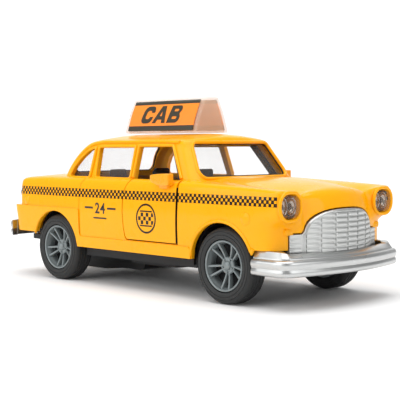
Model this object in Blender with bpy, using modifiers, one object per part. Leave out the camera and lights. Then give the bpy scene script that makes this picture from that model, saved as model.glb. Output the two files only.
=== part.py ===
"""A friction-drive toy taxi: a die-cast body on a plastic chassis, two opening front doors,
rolling wheels, and a flywheel motor geared to the rear axle.

Frame: +X is forward, +Y is the car's left, +Z is up. The origin is on the ground under the
middle of the car. Every size below is in millimetres, and the helpers turn it into metres.
"""
import math

import bmesh
import bpy
from mathutils import Matrix, Vector

MM = 0.001

# ---- Overall sizes -------------------------------------------------------------------------
LENGTH = 133.0              # front bumper to rear bumper
WHEELBASE = 76.0
FRONT_OVERHANG = 27.2       # front axle to the front of the bumper
BODY_WIDTH = 50.0
WALL = 1.2                  # the casting's wall
GAP = 0.35                  # between pieces that only meet
ROCKER_Z = 11.6             # lower edge of the sides
FRONT_EDGE_Z = 15.8         # lower edge ahead of the front wheels
REAR_EDGE_Z = 15.0          # lower edge behind the rear wheels
BELT_Z = 33.6               # top of the sides, where the windows start
ROOF_EDGE_Z = 45.6
ROOF_CROWN = 1.7            # rise of the roof from its edge to its middle

FRONT_AXLE_X = LENGTH / 2 - FRONT_OVERHANG
REAR_AXLE_X = FRONT_AXLE_X - WHEELBASE
HALF = BODY_WIDTH / 2
NOSE_X = FRONT_AXLE_X + 23.5
TAIL_X = 7.0 - LENGTH / 2
CABIN_X = FRONT_AXLE_X - 39.3   # the cabin, its seats and the sign keep their place from here

# ---- Wheels --------------------------------------------------------------------------------
WHEEL_R = 10.6
TYRE_WIDTH = 7.0
TYRE_FACE_Y = HALF - 0.2    # outer face of the tyres
RIM_R = 7.1
RIM_FIT = 0.2               # between the rim and the tyre's bore
RIM_WIDTH = 6.2
RIM_DISH = 1.8              # the spokes' face behind the rim's outer edge
AXLE_R = 1.0
AXLE_FIT = 0.25             # between an axle and its bearings
SPOKE_PAIRS = 5
SPOKE_SPREAD = math.radians(13)
ARCH_R = WHEEL_R + 1.4      # wheel arch, measured from the axle
WELL_R = WHEEL_R + 2.0
WELL_WALL = 0.8
WELL_INNER_Y = HALF - 9.2

# ---- Body side -----------------------------------------------------------------------------
SHOULDER_R = 3.0
PLAN_CORNER_R = 7.5         # front corners seen from above
HOOD_ROLL_R = 6.0
TAIL_ROLL_R = 3.5
NOSE_BULGE = 4.5            # the nose's middle ahead of its corners
TAIL_STEP_Z = 23.7          # the lower tail stands out below this
TAIL_STEP = 2.8

# ---- Cabin ---------------------------------------------------------------------------------
CABIN_HALF = HALF - 3.3           # half-width at the belt
TUMBLEHOME = 0.33           # how far a side leans in for each millimetre of height
ROOF_R = 2.4
SCREEN_BASE_X = FRONT_AXLE_X - 14.3
SCREEN_LEAN = 0.70
SCREEN_BULGE = 1.2
GLASS_WALL = 0.9

# ---- Front doors ---------------------------------------------------------------------------
DOOR_FRONT_X = FRONT_AXLE_X - 17.9      # the opening's front edge
DOOR_LENGTH = 24.6
DOOR_BOTTOM_Z = 15.2
DOOR_GAP = 0.35
DOOR_FRONT_GAP = 0.9
HINGE_AHEAD = 4.0           # hinge axis ahead of the door's own edge
HINGE_DEPTH = 2.4           # hinge axis inboard of the door's outer face
HINGE_PIN_R = 0.7
HINGE_FIT = 0.25
HINGE_LOW_Z = 19.5
HINGE_HIGH_Z = 26.5
DOOR_INNER_Y = HALF - 2.8         # the door takes in the shoulder as far as this

# ---- Lamps, grille, bumpers ----------------------------------------------------------------
LAMP_Y = HALF - 4.8
LAMP_Z = 27.4
POD_SIZE = (8.8, 8.2)
POD_FRONT_X = FRONT_AXLE_X + 20.7
LENS_SIZE = (7.0, 6.1)
LENS_THICK = 1.0
TAIL_LAMP_R = 1.9
TAIL_LAMP_Y = HALF - 5.0
TAIL_LAMP_Z = 27.6
GRILLE_HALF = 14.6
GRILLE_TOP_Z = 26.4
GRILLE_FLANK_HALF = HALF - 6.2
GRILLE_FLANK_Z = 20.0
GRILLE_BOTTOM_Z = 14.6
GRILLE_THICK = 1.6
BUMPER_HALF = HALF + 0.6
BUMPER_TOP_Z = 13.7
BUMPER_BOTTOM_Z = 9.2
REAR_BUMPER_TOP_Z = 18.2
REAR_BUMPER_BOTTOM_Z = 13.0
REAR_BUMPER_DEPTH = 2.0

# ---- Chassis -------------------------------------------------------------------------------
CHASSIS_Z = 8.6
CHASSIS_THICK = 1.6
CHASSIS_REAR_Z = 12.0        # behind the rear wheels the plate steps up to this
CHASSIS_HALF = HALF - 2.8
BELLY_Z = 6.6
SCREWS = (
    ("front", FRONT_AXLE_X - 9.8, CHASSIS_Z),
    ("rear", REAR_AXLE_X - 17.5, CHASSIS_REAR_Z),
)
SCREW_R = 0.9
SCREW_HEAD_R = 2.0
SCREW_LENGTH = 9.0
POST_R = 2.3

# ---- Friction motor ------------------------------------------------------------------------
MODULE = 0.5
ADDENDUM = 0.8              # in modules
DEDENDUM = 1.15
PRESSURE_ANGLE = math.radians(20)
BACKLASH = 0.12             # taken off each tooth at the pitch circle
AXLE_TEETH = 24
PINION_TEETH = 12
IDLER_TEETH = 26
GEAR_WIDTH = 2.6
GEAR_CLEAR = 0.5            # between neighbouring gears along their shafts
IDLER_RISE = math.radians(20)
FLYWHEEL_DROP = math.radians(-15)
FLYWHEEL_R = 6.0
FLYWHEEL_WIDTH = 4.0
SHAFT_R = 0.8
SHAFT_FIT = 0.2
CASE_WALL = 0.9
CASE_HALF_Y = 8.4
CASE_ROOM = 0.8             # between the gears and the case

# ---- Roof sign -----------------------------------------------------------------------------
SIGN_REAR_X = CABIN_X - 22.9
SIGN_LENGTH = 33.7
SIGN_BASE_HALF = 6.9
SIGN_TOP_HALF = 2.6
SIGN_HEIGHT = 11.0
SIGN_WALL = 0.9
LABEL_THICK = 0.4


# ============================================================================================
# Scene and materials
# ============================================================================================
def clear_scene():
    for obj in list(bpy.data.objects):
        bpy.data.objects.remove(obj, do_unlink=True)


def new_collection(name):
    collection = bpy.data.collections.new(name)
    bpy.context.scene.collection.children.link(collection)
    return collection


def make_material(name, colour, roughness, metallic=0.0, alpha=1.0):
    material = bpy.data.materials.new(name)
    material.use_nodes = True
    shader = material.node_tree.nodes["Principled BSDF"]
    shader.inputs["Base Color"].default_value = (*colour, 1.0)
    shader.inputs["Roughness"].default_value = roughness
    shader.inputs["Metallic"].default_value = metallic
    shader.inputs["Alpha"].default_value = alpha
    material.diffuse_color = (*colour, alpha)
    return material


clear_scene()
PARTS = new_collection("friction_taxi")
CUTTERS = new_collection("cutters")
CUTTERS.hide_render = True

PAINT = make_material("yellow_paint", (0.95, 0.50, 0.02), 0.25)
BLACK = make_material("black_plastic", (0.015, 0.015, 0.016), 0.5)
RUBBER = make_material("tyre_rubber", (0.02, 0.02, 0.02), 0.8)
GREY = make_material("grey_rim_plastic", (0.20, 0.22, 0.23), 0.4)
CHROME = make_material("silver_plating", (0.75, 0.76, 0.78), 0.2, metallic=1.0)
STEEL = make_material("axle_steel", (0.55, 0.55, 0.56), 0.3, metallic=1.0)
GLASS = make_material("clear_plastic", (0.95, 0.93, 0.90), 0.1, alpha=0.35)
RED = make_material("red_lens", (0.6, 0.02, 0.02), 0.15)
NYLON = make_material("white_nylon", (0.85, 0.84, 0.80), 0.5)
ORANGE = make_material("orange_label", (1.0, 0.30, 0.01), 0.5)
MIRROR = make_material("amber_mirror_plastic", (1.0, 0.40, 0.01), 0.3)


# ============================================================================================
# Modelling helpers
# ============================================================================================
def place_in(obj, collection):
    for other in list(obj.users_collection):
        other.objects.unlink(obj)
    collection.objects.link(obj)


def as_part(obj, name, material, pivot=(0, 0, 0)):
    """Makes obj one of the car's pieces, with its origin at pivot."""
    obj.name = name
    place_in(obj, PARTS)
    pivot = Vector(pivot) * MM
    obj.data.transform(Matrix.Translation(-pivot))
    obj.location = pivot
    obj.data.materials.clear()
    obj.data.materials.append(material)
    obj.data.shade_smooth()
    obj.data.set_sharp_from_angle(angle=math.radians(32))
    return obj


def as_cutter(obj, name):
    """Makes obj a helper that shapes another piece and isn't one itself."""
    obj.name = name
    place_in(obj, CUTTERS)
    obj.display_type = "WIRE"
    obj.hide_render = True
    return obj


def mesh_object(bm, name):
    mesh = bpy.data.meshes.new(name)
    bm.to_mesh(mesh)
    bm.free()
    obj = bpy.data.objects.new(name, mesh)
    bpy.context.scene.collection.objects.link(obj)
    return obj


def box(low, high):
    """A box between two corners."""
    low, high = Vector(low) * MM, Vector(high) * MM
    bm = bmesh.new()
    bmesh.ops.create_cube(bm, size=1.0)
    size, middle = high - low, (high + low) / 2
    bmesh.ops.scale(bm, vec=size, verts=bm.verts)
    bmesh.ops.translate(bm, vec=middle, verts=bm.verts)
    return mesh_object(bm, "box")


AXIS_TURNS = {"X": (0, math.pi / 2, 0), "Y": (-math.pi / 2, 0, 0), "Z": (0, 0, 0)}


def rod(radius, low, high, at, axis="Y", sides=16, top_radius=None):
    """A round bar along an axis, from low to high on it. `at` gives its other two coordinates."""
    length = (high - low) * MM
    bm = bmesh.new()
    bmesh.ops.create_cone(
        bm, cap_ends=True, segments=sides, depth=length, radius1=radius * MM,
        radius2=(radius if top_radius is None else top_radius) * MM,
    )
    bmesh.ops.rotate(bm, verts=bm.verts, matrix=Matrix.Rotation(math.pi / sides, 3, "Z"))
    turn = Matrix.Identity(3)
    if axis == "X":
        turn = Matrix.Rotation(math.pi / 2, 3, "Y")
    elif axis == "Y":
        turn = Matrix.Rotation(-math.pi / 2, 3, "X")
    bmesh.ops.rotate(bm, verts=bm.verts, matrix=turn)
    middle = (low + high) / 2
    centre = {"X": (middle, *at), "Y": (at[0], middle, at[1]), "Z": (*at, middle)}[axis]
    bmesh.ops.translate(bm, verts=bm.verts, vec=Vector(centre) * MM)
    return mesh_object(bm, "rod")


def mesh_of(obj):
    """Turns a curve, or an object with modifiers, into a welded mesh with its place in its points."""
    graph = bpy.context.evaluated_depsgraph_get()
    mesh = bpy.data.meshes.new_from_object(obj.evaluated_get(graph))
    mesh.transform(obj.matrix_world)
    bm = bmesh.new()
    bm.from_mesh(mesh)
    bmesh.ops.remove_doubles(bm, verts=bm.verts, dist=0.001 * MM)
    bmesh.ops.recalc_face_normals(bm, faces=bm.faces)
    bm.to_mesh(mesh)
    bm.free()
    done = bpy.data.objects.new(obj.name, mesh)
    bpy.context.scene.collection.objects.link(done)
    bpy.data.objects.remove(obj, do_unlink=True)
    return done


PLANES = {
    "X": (math.pi / 2, 0, math.pi / 2),     # outline (y, z)
    "Y": (math.pi / 2, 0, 0),               # outline (x, z)
    "Z": (0, 0, 0),                         # outline (x, y)
}


def prism(outlines, axis, low, high):
    """A flat outline, with any further outlines as holes in it, thickened along an axis."""
    if isinstance(outlines[0][0], (int, float)):
        outlines = [outlines]
    curve = bpy.data.curves.new("outline", "CURVE")
    curve.dimensions = "2D"
    curve.fill_mode = "BOTH"
    curve.extrude = (high - low) / 2 * MM
    for outline in outlines:
        spline = curve.splines.new("POLY")
        spline.points.add(len(outline) - 1)
        for point, (u, v) in zip(spline.points, outline):
            point.co = (u * MM, v * MM, 0, 1)
        spline.use_cyclic_u = True
    obj = bpy.data.objects.new("prism", curve)
    bpy.context.scene.collection.objects.link(obj)
    obj.rotation_euler = PLANES[axis]
    middle = (low + high) / 2 * MM
    obj.location = {"X": (middle, 0, 0), "Y": (0, middle, 0), "Z": (0, 0, middle)}[axis]
    bpy.context.view_layer.update()
    return mesh_of(obj)


def rounded(points, radius, steps=3):
    """The outline with its corners cut to arcs."""
    made = []
    count = len(points)
    for i, corner in enumerate(points):
        corner = Vector(corner)
        before = Vector(points[i - 1]) - corner
        after = Vector(points[(i + 1) % count]) - corner
        reach = min(radius, before.length * 0.45, after.length * 0.45)
        start, end = corner + before.normalized() * reach, corner + after.normalized() * reach
        for step in range(steps + 1):
            t = step / steps
            made.append(tuple(start * (1 - t) ** 2 + corner * 2 * t * (1 - t) + end * t ** 2))
    return made


def arc(centre, radius, start, end, steps):
    """Points of an arc, with its angles in degrees."""
    turns = [math.radians(start + (end - start) * i / steps) for i in range(steps + 1)]
    return [(centre[0] + radius * math.cos(t), centre[1] + radius * math.sin(t)) for t in turns]


def mirrored_y(obj):
    """A copy of obj on the car's other side."""
    mesh = obj.data.copy()
    mesh.transform(Matrix.Scale(-1, 4, (0, 1, 0)))
    mesh.flip_normals()
    twin = bpy.data.objects.new(obj.name, mesh)
    bpy.context.scene.collection.objects.link(twin)
    return twin


def combine(obj, other, operation, name):
    """Adds a live Boolean of obj with other, which becomes a helper."""
    as_cutter(other, name)
    modifier = obj.modifiers.new(name, "BOOLEAN")
    modifier.object = other
    modifier.operation = operation
    modifier.solver = "EXACT"
    return obj


def cut(obj, other, name):
    return combine(obj, other, "DIFFERENCE", name)


def join(obj, other, name):
    return combine(obj, other, "UNION", name)


def fixed(obj):
    """obj with its modifiers applied and its place in its points."""
    bpy.context.view_layer.update()
    return mesh_of(obj)


def bevelled(obj, width, segments=1, angle=35):
    modifier = obj.modifiers.new("edges", "BEVEL")
    modifier.width = width * MM
    modifier.segments = segments
    modifier.limit_method = "ANGLE"
    modifier.angle_limit = math.radians(angle)
    return obj


def turned(profile, at, axis="Y", sides=28):
    """A turned shape about an axis through `at`. The profile is (radius, along), outer side first."""
    bm = bmesh.new()
    points = [bm.verts.new((radius * MM, 0, along * MM)) for radius, along in profile]
    for first, second in zip(points, points[1:] + points[:1]):
        bm.edges.new((first, second))
    obj = mesh_object(bm, "turned")
    screw = obj.modifiers.new("turn", "SCREW")
    screw.steps = sides
    screw.render_steps = sides
    screw.use_merge_vertices = True
    screw.merge_threshold = 0.00001
    screw.use_smooth_shade = True
    obj.rotation_euler = AXIS_TURNS[axis]
    obj.location = Vector(at) * MM
    bpy.context.view_layer.update()
    return mesh_of(obj)


def box_cage(nx, ny, nz, place, closed=False):
    """A box cut into nx by ny by nz cells, open below unless it's closed. place(i, j, k) says where
    each of its points goes."""
    cells = (nx, ny, nz)
    bm = bmesh.new()
    bmesh.ops.create_cube(bm, size=1.0)
    for axis, count in enumerate(cells):
        normal = [float(n == axis) for n in range(3)]
        for step in range(1, count):
            at = [(step / count - 0.5) * n for n in normal]
            bmesh.ops.bisect_plane(bm, geom=bm.verts[:] + bm.edges[:] + bm.faces[:],
                                   plane_co=at, plane_no=normal)
    if not closed:
        below = [face for face in bm.faces if face.calc_center_median().z < -0.49]
        bmesh.ops.delete(bm, geom=below, context="FACES")
    for vert in bm.verts:
        i, j, k = (round((place_at + 0.5) * count) for place_at, count in zip(vert.co, cells))
        vert.co = Vector(place(i, j, k)) * MM
    bmesh.ops.recalc_face_normals(bm, faces=bm.faces)
    return mesh_object(bm, "cage")


def with_flat_faces(obj):
    """Splits bent four-sided faces in two, so that a Boolean meets flat faces only."""
    modifier = obj.modifiers.new("flat_faces", "TRIANGULATE")
    modifier.quad_method = "SHORTEST_DIAGONAL"
    return obj


def thickened(obj, wall):
    """Gives an open surface a wall, inwards from it."""
    modifier = obj.modifiers.new("wall", "SOLIDIFY")
    modifier.thickness = wall * MM
    modifier.offset = -1
    modifier.use_even_offset = True
    return obj


# ============================================================================================
# Lower body
# ============================================================================================
SIDE_XS = (TAIL_X + TAIL_ROLL_R, REAR_AXLE_X - 10, REAR_AXLE_X, REAR_AXLE_X + 11,
           CABIN_X - 13.0, CABIN_X, CABIN_X + 12.0, DOOR_FRONT_X, FRONT_AXLE_X - 9, FRONT_AXLE_X, FRONT_AXLE_X + 7,
           NOSE_X - NOSE_BULGE - PLAN_CORNER_R)
SIDE_LEVELS = (0.0, 0.34, 0.68)         # from the lower edge up to the side's widest height
WIDEST_Z = 25.0
TOP_YS = (HALF - 3.0, 15.0, 8.0, 0.0)         # inwards from the shoulder
ARC = 1 - math.sqrt(0.5)                # how far an arc's middle lies inside its corner


def between(x, rows):
    """The value at x of a line through (x, value) rows."""
    if x <= rows[0][0]:
        return rows[0][1]
    for (x0, v0), (x1, v1) in zip(rows, rows[1:]):
        if x <= x1:
            return v0 + (v1 - v0) * (x - x0) / (x1 - x0)
    return rows[-1][1]


def edge_z(x):
    """Lower edge of the body: higher at both ends than between the wheels."""
    return between(x, ((REAR_AXLE_X - 4, REAR_EDGE_Z), (REAR_AXLE_X + 4, ROCKER_Z),
                       (FRONT_AXLE_X - 4, ROCKER_Z), (FRONT_AXLE_X + 4, FRONT_EDGE_Z)))


def shoulder_z(x):
    return between(x, ((TAIL_X, BELT_Z - 0.5), (REAR_AXLE_X, BELT_Z), (DOOR_FRONT_X, BELT_Z),
                       (POD_FRONT_X, BELT_Z - 1.7)))


def side_y(x, z):
    """Half-width of the side at a height: it tucks in below and leans in above."""
    width = HALF - between(x, ((TAIL_X, 0.6), (REAR_AXLE_X, 0.0)))
    middle = 22.0
    reach = 10.4 if z < middle else 9.0
    tuck = 0.6 if z < middle else 0.4
    return width - tuck * ((z - middle) / reach) ** 2


def top_rise(x, y):
    """Height of the hood and deck above the shoulder: each is crowned, the hood between wings."""
    if x > DOOR_FRONT_X:
        crown = between(x, ((DOOR_FRONT_X, 1.0), (FRONT_AXLE_X, 1.3), (NOSE_X - HOOD_ROLL_R, 0.4)))
        valley = 0.35
    else:
        crown = between(x, ((CABIN_X - 50.0, 0.6), (CABIN_X, 1.0)))
        valley = 0.0
    across = abs(y) / 15.0
    if across >= 1:
        return -valley * max(0.0, (TOP_YS[0] - abs(y)) / 7)
    return crown * (1 - across ** 2) - valley * across ** 2


def nose_x(y):
    """Plan of the nose, ahead of its round corners."""
    return NOSE_X - NOSE_BULGE * (min(abs(y), HALF - PLAN_CORNER_R) / (HALF - PLAN_CORNER_R)) ** 2


def tail_x(z):
    """The tail's outline: its lower part stands out."""
    return TAIL_X - between(z, ((REAR_EDGE_Z, 1.1), (20.4, 2.0), (23.0, TAIL_STEP),
                                (TAIL_STEP_Z, TAIL_STEP), (TAIL_STEP_Z + 0.5, 0.0)))


def lower_body_point(i, j, k, nx, ny, nz):
    """A point of the lower body's cage. Its edges run along the middle of the rounded corners."""
    side = -1 if j < ny / 2 else 1
    inward = min(j, ny - j)
    at_tail, at_nose = i == 0, i == nx
    x = SIDE_XS[min(max(i - 1, 0), len(SIDE_XS) - 1)]
    shoulder = shoulder_z(x)
    if k == nz:
        width = side_y(x, shoulder - SHOULDER_R)
        y = width - SHOULDER_R * ARC if inward == 0 else TOP_YS[inward - 1]
        z = shoulder - SHOULDER_R * ARC if inward == 0 else shoulder + top_rise(x, y)
        if at_nose:
            y = min(y, width - (PLAN_CORNER_R + SHOULDER_R) * ARC)
            x = nose_x(y) - HOOD_ROLL_R * ARC - (1.5 if inward == 0 else 0)
            z = shoulder - HOOD_ROLL_R * ARC + top_rise(x, y) * 0.6
        elif at_tail:
            y = min(y, width - TAIL_ROLL_R * ARC)
            x, z = TAIL_X + TAIL_ROLL_R * ARC, z - TAIL_ROLL_R * ARC
        elif i == nx - 1 and inward > 0:
            x = nose_x(y) - HOOD_ROLL_R
        return x, side * y, z
    if k < len(SIDE_LEVELS):
        z = edge_z(x) + (WIDEST_Z - edge_z(x)) * SIDE_LEVELS[k]
    elif k == nz - 1:
        z = shoulder - (HOOD_ROLL_R if at_nose else SHOULDER_R)
    else:
        z = WIDEST_Z
    width = side_y(x, z)
    if not (at_tail or at_nose):
        return x + (tail_x(z) - TAIL_X if i == 1 else 0), side * width, z
    corner = PLAN_CORNER_R if at_nose else TAIL_ROLL_R
    y = width - corner * ARC if inward == 0 else min(TOP_YS[inward - 1], width - corner)
    back = corner * ARC if inward == 0 else 0
    return (nose_x(y) - back if at_nose else tail_x(z) + back), side * y, z


def lower_body():
    nx, ny, nz = len(SIDE_XS) + 1, 2 * len(TOP_YS), len(SIDE_LEVELS) + 2
    cage = box_cage(nx, ny, nz, lambda i, j, k: lower_body_point(i, j, k, nx, ny, nz))
    return fixed(with_flat_faces(thickened(cage, WALL)))


# ============================================================================================
# Cabin: roof and pillars, and the clear moulding inside them
# ============================================================================================
REAR_LINE = tuple((z, CABIN_X - back) for z, back in (
    (30.0, 38.4), (33.8, 37.6), (37.0, 36.4), (40.6, 34.0), (43.0, 30.9), (44.8, 27.2),
    (ROOF_EDGE_Z, 24.0)))
CABIN_XS = (CABIN_X - 20.0, CABIN_X - 10.0, CABIN_X, CABIN_X + 9.0)
CABIN_ZS = (35.0, 39.5)                 # above the lower edge
CABIN_CORNER_R = 3.5
FLOOR_CUT_Z = 30.0


def cabin_point(i, j, k, nx, ny, nz, inset, base_z):
    """A point of the cabin's cage, brought in by inset all over."""
    side = -1 if j < ny / 2 else 1
    inward = min(j, ny - j)
    edge = ROOF_EDGE_Z - inset
    z = (base_z, *CABIN_ZS, edge - ROOF_R)[k] if k < nz else edge - ROOF_R * ARC
    width = CABIN_HALF - inset - TUMBLEHOME * (z - BELT_Z)
    screen = SCREEN_BASE_X - inset * 1.2 - SCREEN_LEAN * (z - BELT_Z)
    rear = between(z + inset * 0.4, REAR_LINE) + inset
    across = (width - CABIN_CORNER_R * ARC, width - CABIN_CORNER_R, width * 0.45, 0.0)[inward]
    round_off = inward == 0
    bulge = SCREEN_BULGE * (1 - (across / width) ** 2)
    if k < nz:
        if i == 0:
            return rear + (CABIN_CORNER_R * ARC if round_off else 0), side * across, z
        if i == nx:
            return screen + bulge - (0.6 if round_off else 0), side * across, z
        x = rear + CABIN_CORNER_R if i == 1 else screen - 2.0 if i == nx - 1 else CABIN_XS[i - 2]
        return x, side * (width if inward == 0 else across), z
    crown = ROOF_CROWN * (1 - (across / width) ** 2)
    if i == nx:
        return screen + bulge * 0.8 - (0.8 if round_off else 0), side * across, z + crown * 0.25
    if i == 0:
        x = between(44.6 - inset, REAR_LINE) + inset + (0.8 if round_off else 0)
        return x, side * across, 44.4 - inset + crown * 0.2
    x = CABIN_X - 24.0 + inset if i == 1 else screen - 3.0 if i == nx - 1 else CABIN_XS[i - 2]
    if round_off:
        return x, side * (width + 0.3), z
    return x, side * across, edge + crown * (0.75 if i in (1, nx - 1) else 1.0)


def cabin_solid(inset, base_z):
    nx, ny, nz = len(CABIN_XS) + 3, 6, len(CABIN_ZS) + 2
    cage = box_cage(nx, ny, nz,
                    lambda i, j, k: cabin_point(i, j, k, nx, ny, nz, inset, base_z), closed=True)
    return fixed(with_flat_faces(cage))


def from_cabin(points):
    return tuple((CABIN_X + x, z) for x, z in points)


FRONT_WINDOW = from_cabin(((0.2, 31.0), (19.4, 31.0), (19.2, BELT_Z - 0.1), (12.7, 43.1),
                           (-0.4, 43.1)))
REAR_WINDOW = from_cabin(((-19.0, BELT_Z + 0.5), (-2.9, BELT_Z + 0.5), (-4.1, 42.9),
                          (-20.4, 42.9)))
QUARTER_WINDOW = from_cabin(((-31.0, BELT_Z + 0.5), (-22.2, BELT_Z + 0.5), (-24.0, 42.0),
                             (-25.8, 41.2), (-28.4, 39.2)))


def screen_outline(base_half, top_half, low, high):
    return ((-base_half, low), (base_half, low), (top_half, high), (-top_half, high))


def door_outline(gap, front_gap):
    """The door's outline seen from the side, taken in by its gaps."""
    front = DOOR_FRONT_X - front_gap
    rear = DOOR_FRONT_X - DOOR_LENGTH + gap
    low, high = DOOR_BOTTOM_Z + gap, BELT_Z + 1.5
    return [
        (front, low), (front + 0.3, high), (rear + 3.1, high), (rear + 2.6, BELT_Z - 0.4),
        (rear + 1.1, 31.0), (rear + 0.2, 28.0), (rear, 24.0), (rear + 0.5, 18.6),
        (rear + 1.1, low + 0.7), (rear + 1.8, low),
    ]


def arch_outline(axle_x):
    """A wheel arch: round above, with legs that lean out to the body's lower edge."""
    top = arc((axle_x - 0.8, WHEEL_R), ARCH_R, 160, 20, 12)
    front, rear = axle_x + ARCH_R - 0.8, axle_x - ARCH_R - 0.9
    return [(rear - 2.3, 5.0), (rear, WHEEL_R), *top, (front, WHEEL_R), (front, 5.0)]


def grille_outline(grow):
    """The arched grille with its two low flanks, seen from ahead as (y, z)."""
    half, top = GRILLE_HALF + grow, GRILLE_TOP_Z + grow
    flank, flank_z = GRILLE_FLANK_HALF + grow, GRILLE_FLANK_Z + grow
    low = GRILLE_BOTTOM_Z - grow
    spring = flank_z - 1.0
    dome = []
    for step in range(1, 10):
        along, up = math.cos(math.pi * step / 10), math.sin(math.pi * step / 10)
        dome.append((half * math.copysign(abs(along) ** 0.75, along),
                     spring + (top - spring) * up ** 0.8))
    return [(flank, low), (flank, flank_z), (half + 0.4, flank_z), *dome,
            (-half - 0.4, flank_z), (-flank, flank_z), (-flank, low)]


def rounded_rectangle(centre, size, radius, steps=3):
    (cx, cy), (w, h) = centre, size
    corners = ((cx - w / 2, cy - h / 2), (cx + w / 2, cy - h / 2),
               (cx + w / 2, cy + h / 2), (cx - w / 2, cy + h / 2))
    return rounded(corners, radius, steps)


def hinge_axis(side):
    """Where a door's hinge pin stands, in plan."""
    return DOOR_FRONT_X - DOOR_FRONT_GAP + HINGE_AHEAD, side * (HALF - HINGE_DEPTH)


def build_body():
    body = lower_body()
    join(body, cabin_solid(0.0, BELT_Z - 0.6), "cabin_outside")
    for side in (-1, 1):
        pod = prism(rounded_rectangle((side * LAMP_Y, LAMP_Z), POD_SIZE, 3.2), "X",
                    POD_FRONT_X - 9.0, POD_FRONT_X)
        join(body, pod, f"lamp_pod_{side}")
    cut(body, cabin_solid(WALL, FLOOR_CUT_Z), "cabin_inside")
    for name, outline in (("front", FRONT_WINDOW), ("rear", REAR_WINDOW),
                          ("quarter", QUARTER_WINDOW)):
        cut(body, prism(rounded(outline, 1.2, 2), "Y", -HALF - 5, HALF + 5),
            f"{name}_window_opening")
    screen = screen_outline(CABIN_HALF - 2.8, CABIN_HALF - 5.8, BELT_Z + 0.4, 44.2)
    cut(body, prism(rounded(screen, 1.5), "X", CABIN_X + 8, CABIN_X + 32), "windscreen_opening")
    rear_screen = screen_outline(CABIN_HALF - 5.3, CABIN_HALF - 7.9, BELT_Z + 1.4, 43.2)
    cut(body, prism(rounded(rear_screen, 2.0), "X", CABIN_X - 46, CABIN_X - 22),
        "rear_screen_opening")
    for axle_x in (FRONT_AXLE_X, REAR_AXLE_X):
        cut(body, prism(arch_outline(axle_x), "Y", -HALF - 5, HALF + 5), "wheel_arch")
    for side in (-1, 1):
        low, high = sorted((side * (HALF + 5), side * DOOR_INNER_Y))
        cut(body, prism(door_outline(0, 0), "Y", low, high), f"door_opening_{side}")
        bore = prism(rounded_rectangle((side * LAMP_Y, LAMP_Z), [s + 2 * GAP for s in LENS_SIZE],
                                       2.4), "X", POD_FRONT_X - 3.0, POD_FRONT_X + 5)
        cut(body, bore, f"lamp_bore_{side}")
        tail_bore = rod(TAIL_LAMP_R + GAP, TAIL_X - 5, TAIL_X + 3, (side * TAIL_LAMP_Y, TAIL_LAMP_Z),
                        "X")
        cut(body, tail_bore, f"tail_lamp_bore_{side}")
    cut(body, prism(grille_outline(GAP), "X", NOSE_X - 9, NOSE_X + 5), "grille_opening")
    for _, screw_x, plate_z in SCREWS:
        post = rod(POST_R, plate_z + CHASSIS_THICK + GAP, BELT_Z - 0.4, (screw_x, 0), "Z", 12)
        join(body, post, "screw_post")
        hole = rod(SCREW_R + 0.15, 0, plate_z + SCREW_LENGTH + 1, (screw_x, 0), "Z", 12)
        cut(body, hole, "screw_hole")
    for side in (-1, 1):
        x, y = hinge_axis(side)
        boss = rod(1.7, HINGE_HIGH_Z + GAP, 31.9, (x, y - side * 0.3), "Z", 10)
        join(body, boss, "hinge_boss")
        hole = rod(HINGE_PIN_R + HINGE_FIT, HINGE_HIGH_Z - 1, HINGE_HIGH_Z + 2.6, (x, y), "Z", 12)
        cut(body, hole, "hinge_hole")
    as_part(body, "body_shell", PAINT)


# The door's arm in plan, from the hinge axis: how far ahead of it, and how far inboard.
HINGE_ARM = ((-7.2, -1.8), (-5.4, -1.8), (-5.0, 1.0), (-4.2, 1.9), (-2.4, 1.9), (-0.5, -0.75),
             (0.9, -0.6), (0.9, 0.7), (-1.6, 2.9), (-4.7, 2.9), (-6.2, 1.5))


def right_door():
    """The piece of the lower body inside the door's outline, with an arm that reaches round the
    opening's front edge to the hinge pin."""
    door = lower_body()
    region = prism(door_outline(DOOR_GAP, DOOR_FRONT_GAP), "Y", -HALF - 5, -(DOOR_INNER_Y + 0.15))
    combine(door, region, "INTERSECT", "door_region")
    x, y = hinge_axis(-1)
    outline = [(x + ahead, y + inboard) for ahead, inboard in HINGE_ARM]
    join(door, prism(outline, "Z", HINGE_LOW_Z + 0.4, HINGE_HIGH_Z - 0.4), "hinge_arm")
    pin = rod(HINGE_PIN_R, HINGE_LOW_Z - 2.0, HINGE_HIGH_Z + 2.0, (x, y), "Z", 12)
    join(door, pin, "hinge_pin")
    return fixed(door)


def build_doors():
    door = right_door()
    as_part(mirrored_y(door), "front_door_left", PAINT, (*hinge_axis(1), HINGE_LOW_Z))
    as_part(door, "front_door_right", PAINT, (*hinge_axis(-1), HINGE_LOW_Z))


def build_mirrors():
    """Wing mirrors: a tapered head that stands on the front of the door."""
    x = DOOR_FRONT_X - 6.2
    outline = rounded(((x - 3.6, 33.2), (x + 2.6, 33.2), (x + 3.2, 35.6), (x + 0.6, 36.4),
                       (x - 3.9, 36.0)), 1.0, 2)
    mirror = fixed(bevelled(prism(outline, "Y", -HALF - 2.0, -HALF + 0.8), 0.5))
    as_part(mirrored_y(mirror), "door_mirror_left", MIRROR, (*hinge_axis(1), HINGE_LOW_Z))
    as_part(mirror, "door_mirror_right", MIRROR, (*hinge_axis(-1), HINGE_LOW_Z))


def build_glazing():
    """One clear moulding behind all the windows but those of the front doors."""
    glass = cabin_solid(WALL + GAP, BELT_Z - 1.6)
    cut(glass, cabin_solid(WALL + GAP + GLASS_WALL, FLOOR_CUT_Z), "glazing_room")
    clear = from_cabin(((-2.6, 25.0), (17.0, 25.0), (12.3, 50.0), (-2.6, 50.0)))
    for side in (-1, 1):
        low, high = sorted((side * 12, side * 40))
        cut(glass, prism(clear, "Y", low, high), f"front_window_clearance_{side}")
    as_part(glass, "glazing", GLASS)


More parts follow.
